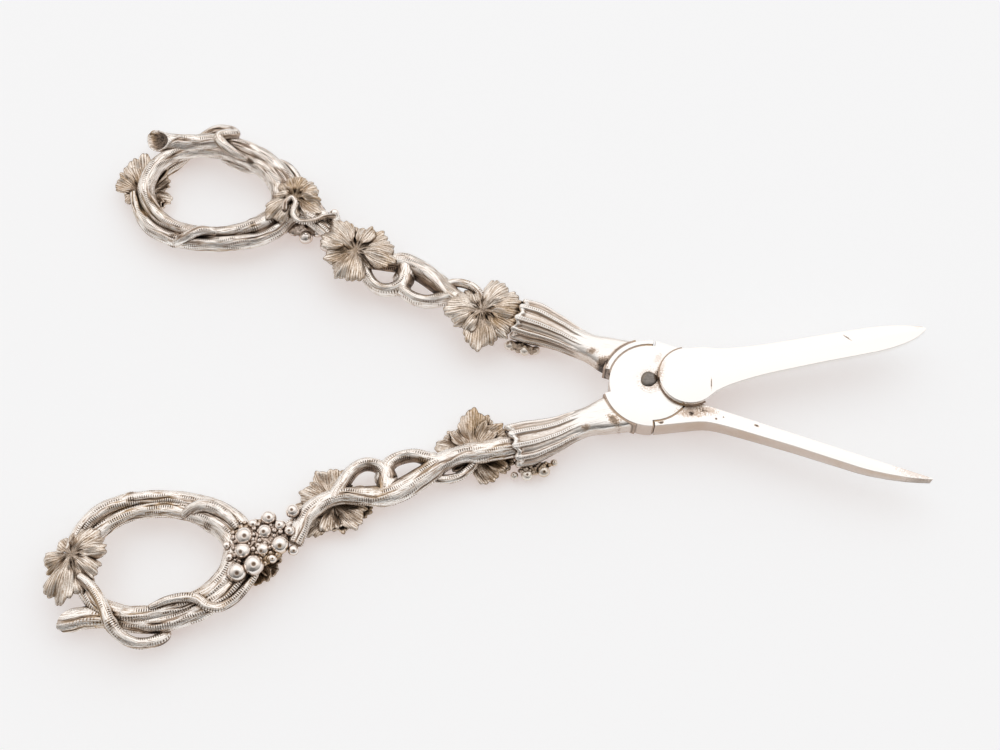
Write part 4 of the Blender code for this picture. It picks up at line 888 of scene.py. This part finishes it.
# Dull solder and dried polish: a matt grey-brown line, with no mirror in it.
dull_solder = silver("dull_solder_and_dried_polish", "C9B6A6", "A08A7B", "55473E", (0.45, 0.7),
                     hollow=0.3, shelter=0.25, patches=0.7, level=0.05, grain=0.6)


def band(name, inner, outer, low, high, first, last, centre=(0, 0)):
    """A bar of rectangular section bent round the pivot or centre, from angle to angle in degrees."""
    steps = [0, *range(BAND_STEPS), BAND_STEPS - 1]
    turn = np.radians(np.linspace(first, last, BAND_STEPS))[steps, None]
    scale = np.array([0.0] + [1.0] * BAND_STEPS + [0.0])[:, None]
    wide = scale * np.array([[-1, -1, 1, 1, -1]]) * (outer - inner) / 2
    high_low = scale * np.array([[-1, 1, 1, -1, -1]]) * (high - low) / 2
    reach = (inner + outer) / 2 + wide
    places = np.dstack([centre[0] + reach * np.cos(turn), centre[1] + reach * np.sin(turn),
                        (low + high) / 2 + high_low])
    piece = rolled_sheet(name, places, 0.5 + 0 * reach)
    piece.data.transform(middle @ Matrix.Scale(MM, 4))
    bpy.ops.object.shade_flat()
    return piece


# Each seam's name, body and band: inner and outer radius, lowest and highest level, both angles and,
# for the two round the cutting plate's root, their centre.
ROOT_CENTRE, ROOT_RADIUS = (7.52, 1.3), 5.9
SOLDER = (0.2 - HALF_JOINT, HALF_JOINT - 0.1)
DRIED_POLISH = (DISC_RADIUS - 0.02, DISC_RADIUS + JOINT_GAP + 0.02, 1.2, HALF_JOINT - 0.12)
PLATE_FACE = HALF_JOINT + 0.04
SEAMS = (
    ("front_solder_seam", "front_arm", (RIM_RADIUS - 0.05, RIM_RADIUS + 0.34, *SOLDER, 198, 254)),
    ("rear_solder_seam", "rear_arm", (RIM_RADIUS - 0.05, RIM_RADIUS + 0.4, *SOLDER, 108, 164)),
    ("rear_rim_polish", "rear_arm", (*DRIED_POLISH, 87, 165)),
    ("rear_lap_polish", "rear_arm", (*DRIED_POLISH, -84, -38)),
    ("rear_stop_polish", "rear_arm", (DISC_RADIUS + 0.02, RIM_RADIUS - 0.12, -2.2, 2.2, -86.0, -84.2)),
    ("front_plate_solder", "front_arm",
     (ROOT_RADIUS - 0.3, ROOT_RADIUS + 0.14, PLATE_FACE, PLATE_FACE + 0.18, 165, 304, ROOT_CENTRE)),
    ("front_plate_polish", "front_arm",
     (ROOT_RADIUS - 0.3, ROOT_RADIUS + 0.2, PLATE_FACE, PLATE_FACE + 1.54, 104, 187, ROOT_CENTRE)))
for name, body, form in SEAMS:
    seam = band(name, *form)
    seam.data.materials.append(dull_solder)
    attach(seam, body)

# The closed hole is a thin ring round the rivet, as rows of (radius, height above the joint's face).
HOLE_PROFILE = ((0.75, -0.6), (0.75, -0.06), (0.85, 0.01), (2.15, 0.01), (2.24, -0.01), (2.24, -0.6),
                (0.75, -0.6))
turn = np.linspace(0, 2 * pi, 61)[None, :]
reach, level = [np.array(column)[:, None] + 0 * turn for column in zip(*HOLE_PROFILE)]
places = np.dstack([reach * np.cos(turn), reach * np.sin(turn), HALF_JOINT + level])
seat = rolled_sheet("closed_rivet_hole", places, 0 * reach)
seat.data.transform(middle @ Matrix.Scale(MM, 4))
seat.data.materials.append(polished_silver)
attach(seat, "rear_arm")

# The rivet
# A plain steel rivet, black with age, hammered to a low head that has worn to an uneven round. It
# turns with the rear arm.
HEAD_SHARE, HEAD_HEIGHT, HEAD_SHIFT, HEAD_DENT = 0.96, 0.5, 0.72, 0.04
HEAD_LEVEL = 0.93
# Rows of (share of the radius, share of the half height, share of the head's dome).
RIVET_PROFILE = (
    (0.0, -1.0, 0.0), (0.9, -1.0, 0.0), (1.0, -0.92, 0.0), (1.0, 0.94, 0.0), (1.0, 1.0, 0.0),
    (0.97, 1.0, 0.25), (0.88, 1.0, 0.6), (0.7, 1.0, 0.85), (0.45, 1.0, 1.0), (0.2, 1.0, 0.92),
    (0.0, 1.0, 0.9))
low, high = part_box("pivot_rivet")
around = np.linspace(0, 2 * pi, 73)[None, :]
widths, levels, domes = [np.array(column)[:, None] for column in zip(*RIVET_PROFILE)]
head = levels > HEAD_LEVEL
half_height = (high.z - low.z) / 2 / MM
mid_height = (high.z + low.z) / 2 / MM
uneven = 1 + 0.05 * np.sin(2 * around + 0.5) + 0.05 * np.sin(3 * around + 2.0)
radius = (high.x - low.x) / 2 / MM * widths * np.where(head, HEAD_SHARE * uneven, 1.0)
dent = HEAD_DENT * np.sin(4 * around + 1.0) * np.sin(3 * widths)
height = mid_height + levels * half_height + domes * HEAD_HEIGHT + dent * (domes > 0.3)
places = np.dstack([radius * np.cos(around) - HEAD_SHIFT / 3 * head,
                    radius * np.sin(around) + HEAD_SHIFT * head, height])
rivet = rolled_sheet("steel_rivet", places, 0.4 + 0 * radius)
centre = Matrix.Translation(((low.x + high.x) / 2, (low.y + high.y) / 2, 0))
rivet.data.transform(centre @ Matrix.Scale(MM, 4))
# Blackened steel, darker and duller than the silver round it, with worn grey high places.
rivet_steel = silver("blackened_steel", "9C9692", "6A625B", "2E2926", (0.26, 0.6), hollow=0.5, shelter=0.5,
                     patches=0.9, level=0.05, grain=0.8)
rivet.data.materials.append(rivet_steel)
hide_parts("pivot_rivet")
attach(rivet, "rear_arm")

# The studio
# A plain pale table under a wide soft light, with the room beyond the lights a dim grey.
TABLE_HALF_SIZE = 4.0
table_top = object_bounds()[0].z
bpy.ops.mesh.primitive_plane_add(size=2 * TABLE_HALF_SIZE, location=(0, 0, table_top))
table = bpy.context.active_object
table.name = "table"
# Matt paper, seen nearly white straight on and in the silver, with little light thrown from below.
PAPER_GLOW = 0.46
paper = bpy.data.materials.new("matt_white_paper")
paper.use_nodes = True
surface = paper.node_tree.nodes["Principled BSDF"].inputs
surface["Base Color"].default_value = linear("C8DDE5")
surface["Roughness"].default_value = 0.9
surface["Specular IOR Level"].default_value = 0.1
surface["Emission Color"].default_value = linear("FFE5DC")
add = adder(paper)
rays = add("LightPath", {})
seen = reckon(add, "MAXIMUM", rays["Is Camera Ray"], rays["Is Glossy Ray"])
glow = reckon(add, "MULTIPLY", seen, PAPER_GLOW)
paper.node_tree.links.new(glow, surface["Emission Strength"])
table.data.materials.append(paper)

# One wide soft light hangs over the far side of the table.
LIGHT_SIZE, LIGHT_PLACE, LIGHT_POWER = (2.2, 1.6), (0.1, 0.5, 1.1), 2.4
light_data = bpy.data.lights.new("wide_soft_light", "AREA")
light_data.shape = "RECTANGLE"
light_data.size, light_data.size_y = LIGHT_SIZE
light_data.energy = LIGHT_POWER
light_data.color = linear("E6F2FF")[:3]
light = bpy.data.objects.new("wide_soft_light", light_data)
light.location = LIGHT_PLACE
light.rotation_euler = (-light.location).to_track_quat("-Z", "Y").to_euler()
bpy.context.collection.objects.link(light)

# The room is lighter above and beyond the table. Its dark near side gives the silver its dark tones.
world = bpy.data.worlds.new("studio")
bpy.context.scene.world = world
world.use_nodes = True
add = adder(world)
sky = add("TexCoord", {})["Generated"]
axes = add("SeparateXYZ", {"Vector": sky})
dark = add("VectorMath", {0: sky, 1: (0.05, -0.91, 0.4)}, operation="DOT_PRODUCT")["Value"]
strength = 1.0
for value, low, high, start, end in ((axes["Z"], 0.0, 0.5, 0.5, 0.86), (axes["Y"], -0.75, 0.35, 0.45, 1.15),
                                     (dark, 0.84, 0.96, 1.0, 0.42)):
    share = ramp(add, value, low, high, start, end, kind="SMOOTHSTEP")
    strength = reckon(add, "MULTIPLY", strength, share)
background = world.node_tree.nodes["Background"]
background.inputs["Color"].default_value = linear("FFFAF6")
world.node_tree.links.new(strength, background.inputs["Strength"])

# The camera
# It looks down from the near side at the photograph's angle, with a lens a little longer than normal.
CAMERA_PLACE_MM = (-22.9, -113.7, 263.7)
CAMERA_YAW, CAMERA_TILT, CAMERA_ROLL = radians(-3.29), radians(23.78), radians(-0.38)
FOCAL_SHARE = 1.439
camera_data = bpy.data.cameras.new("camera")
camera_data.sensor_width = 36.0
camera_data.lens = FOCAL_SHARE * camera_data.sensor_width
camera_data.clip_start = 0.01
camera = bpy.data.objects.new("camera", camera_data)
camera.matrix_world = (Matrix.Translation([value * MM for value in CAMERA_PLACE_MM])
                       @ Matrix.Rotation(-CAMERA_YAW, 4, "Z") @ Matrix.Rotation(CAMERA_TILT, 4, "X")
                       @ Matrix.Rotation(CAMERA_ROLL, 4, "Z"))
bpy.context.collection.objects.link(camera)
bpy.context.scene.camera = camera
bpy.context.scene.view_settings.view_transform = "Standard"
